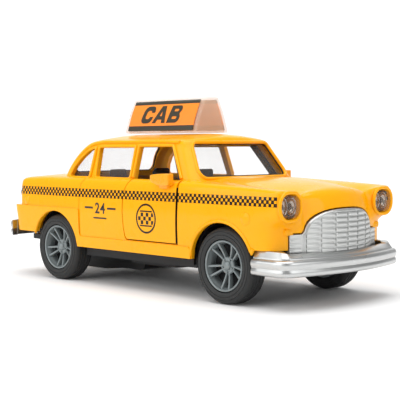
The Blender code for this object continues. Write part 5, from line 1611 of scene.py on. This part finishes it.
class CAB_OT_running_gear(bpy.types.Operator):
    """Finishes for the frame's own chassis, axles, gears, flywheel, motor case and screws"""
    bl_idname = "cab.running_gear"
    bl_label = "Running gear"

    KEPT = {
        "chassis": "black", "chassis_screw_front": "steel", "chassis_screw_rear": "steel",
        "front_axle": "steel", "rear_axle": "steel", "idler_shaft": "steel",
        "flywheel_shaft": "steel", "flywheel": "steel", "axle_gear": "nylon",
        "idler_pinion": "nylon", "idler_gear": "nylon", "flywheel_pinion": "nylon",
        "motor_case_right": "black", "motor_case_left": "black",
    }

    def execute(self, context):
        for name, finish in self.KEPT.items():
            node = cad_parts[name]
            if not node.material_slots:
                node.data.materials.append(FINISHES[finish])
            for slot in node.material_slots:
                slot.material = FINISHES[finish]
        return {"FINISHED"}


class CAB_OT_stage(bpy.types.Operator):
    """A pale floor that curves up behind, soft studio lamps and the camera"""
    bl_idname = "cab.stage"
    bl_label = "Stage"

    def lamp(self, name, place, aim, size, power):
        bpy.ops.object.light_add(type="AREA", location=place)
        lamp = bpy.context.object
        lamp.name = name
        lamp.data.shape, lamp.data.size, lamp.data.size_y = "RECTANGLE", *size
        lamp.data.energy = power
        lamp.rotation_euler = (Vector(aim) - Vector(place)).to_track_quat("-Z", "Y").to_euler()

    def execute(self, context):
        profile = [(1.2, 0.0), (-0.9, 0.0), *[(-0.9 - 0.5 * math.sin(math.radians(a)),
                                              0.5 - 0.5 * math.cos(math.radians(a)))
                                             for a in range(10, 100, 10)], (-1.4, 2.4)]
        floor = sheet("studio_floor", 1, len(profile) - 1,
                      lambda i, j: (profile[j][0] / MM, (i * 2 - 1) * 3.2 / MM,
                                    profile[j][1] / MM))
        settled(floor)
        around = Matrix.Rotation(math.radians(-45), 4, "Z")
        floor.data.transform(around)
        paper = Finish("studio_paper", (0.93, 0.93, 0.93), 0.85)
        low, high = shades((0.93, 0.93, 0.93), 0.01)
        paper.set("Base Color", paper.blend(paper.noise(60.0), low, high))
        paper.bump(paper.noise(1.0), 0.01, 0.2)
        floor.data.materials.append(paper.material)
        shaded(floor, 60)
        self.lamp("top_softbox", (0.05, -0.1, 0.62), (0.0, 0.0, 0.03), (0.7, 0.6), 3.0)
        self.lamp("side_softbox", (-0.12, -0.62, 0.3), (0.0, 0.0, 0.03), (0.9, 0.5), 2.3)
        self.lamp("front_softbox", (0.66, 0.05, 0.32), (0.02, 0.0, 0.03), (0.5, 0.4), 1.0)
        self.lamp("backdrop_lamp", (-0.3, 0.3, 1.2), (-1.0, 1.0, 0.6), (0.9, 0.9), 12.0)
        world = bpy.data.worlds.new("studio_air")
        world.use_nodes = True
        background = world.node_tree.nodes["Background"]
        background.inputs["Color"].default_value = (1.0, 1.0, 1.0, 1.0)
        background.inputs["Strength"].default_value = 0.36
        context.scene.world = world
        eye, aim = Vector((232.87, -220.52, 43.80)) * MM, Vector((5.08, 0, 26.46)) * MM
        bpy.ops.object.camera_add(location=eye)
        camera = bpy.context.object
        camera.name = "camera"
        camera.data.sensor_width, camera.data.lens = 36.0, 91.2
        camera.data.clip_start = 0.005
        roll = Matrix.Rotation(math.radians(-0.25), 4, "Z")
        turn = (aim - eye).to_track_quat("-Z", "Y").to_matrix().to_4x4()
        camera.matrix_world = Matrix.Translation(eye) @ turn @ roll
        context.scene.camera = camera
        context.scene.view_settings.view_transform = "Standard"
        return {"FINISHED"}


class CAB_PT_panel(bpy.types.Panel):
    """The cab's pieces, in the order they are made"""
    bl_idname = "CAB_PT_panel"
    bl_label = "Friction Cab"
    bl_space_type = "VIEW_3D"
    bl_region_type = "UI"
    bl_category = "Friction Cab"

    def draw(self, context):
        layout = self.layout
        for group in (context.scene.cab_paint, context.scene.cab_sizes):
            for key in group.bl_rna.properties.keys():
                if key not in ("rna_type", "name"):
                    layout.prop(group, key)
        for operator in OPERATORS:
            layout.operator(operator.bl_idname)


GROUPS = (CabPaint, CabSizes)
OPERATORS = (CAB_OT_body, CAB_OT_doors, CAB_OT_glazing, CAB_OT_bumpers, CAB_OT_grille,
             CAB_OT_lamps, CAB_OT_interior, CAB_OT_wheels, CAB_OT_sign, CAB_OT_running_gear,
             CAB_OT_stage)


def register():
    for cls in (*GROUPS, *OPERATORS, CAB_PT_panel):
        bpy.utils.register_class(cls)
    bpy.types.Scene.cab_paint = bpy.props.PointerProperty(type=CabPaint)
    bpy.types.Scene.cab_sizes = bpy.props.PointerProperty(type=CabSizes)


def unregister():
    del bpy.types.Scene.cab_sizes
    del bpy.types.Scene.cab_paint
    for cls in reversed((*GROUPS, *OPERATORS, CAB_PT_panel)):
        bpy.utils.unregister_class(cls)


def main():
    register()
    make_finishes()
    bpy.ops.object.select_all(action="DESELECT")
    for operator in OPERATORS:
        group, name = operator.bl_idname.split(".")
        if getattr(getattr(bpy.ops, group), name)() != {"FINISHED"}:
            raise RuntimeError(f"{operator.bl_label} wasn't made")
    for surface in SURFACES.values():
        bpy.data.objects.remove(surface)


if __name__ == "__main__":
    main()
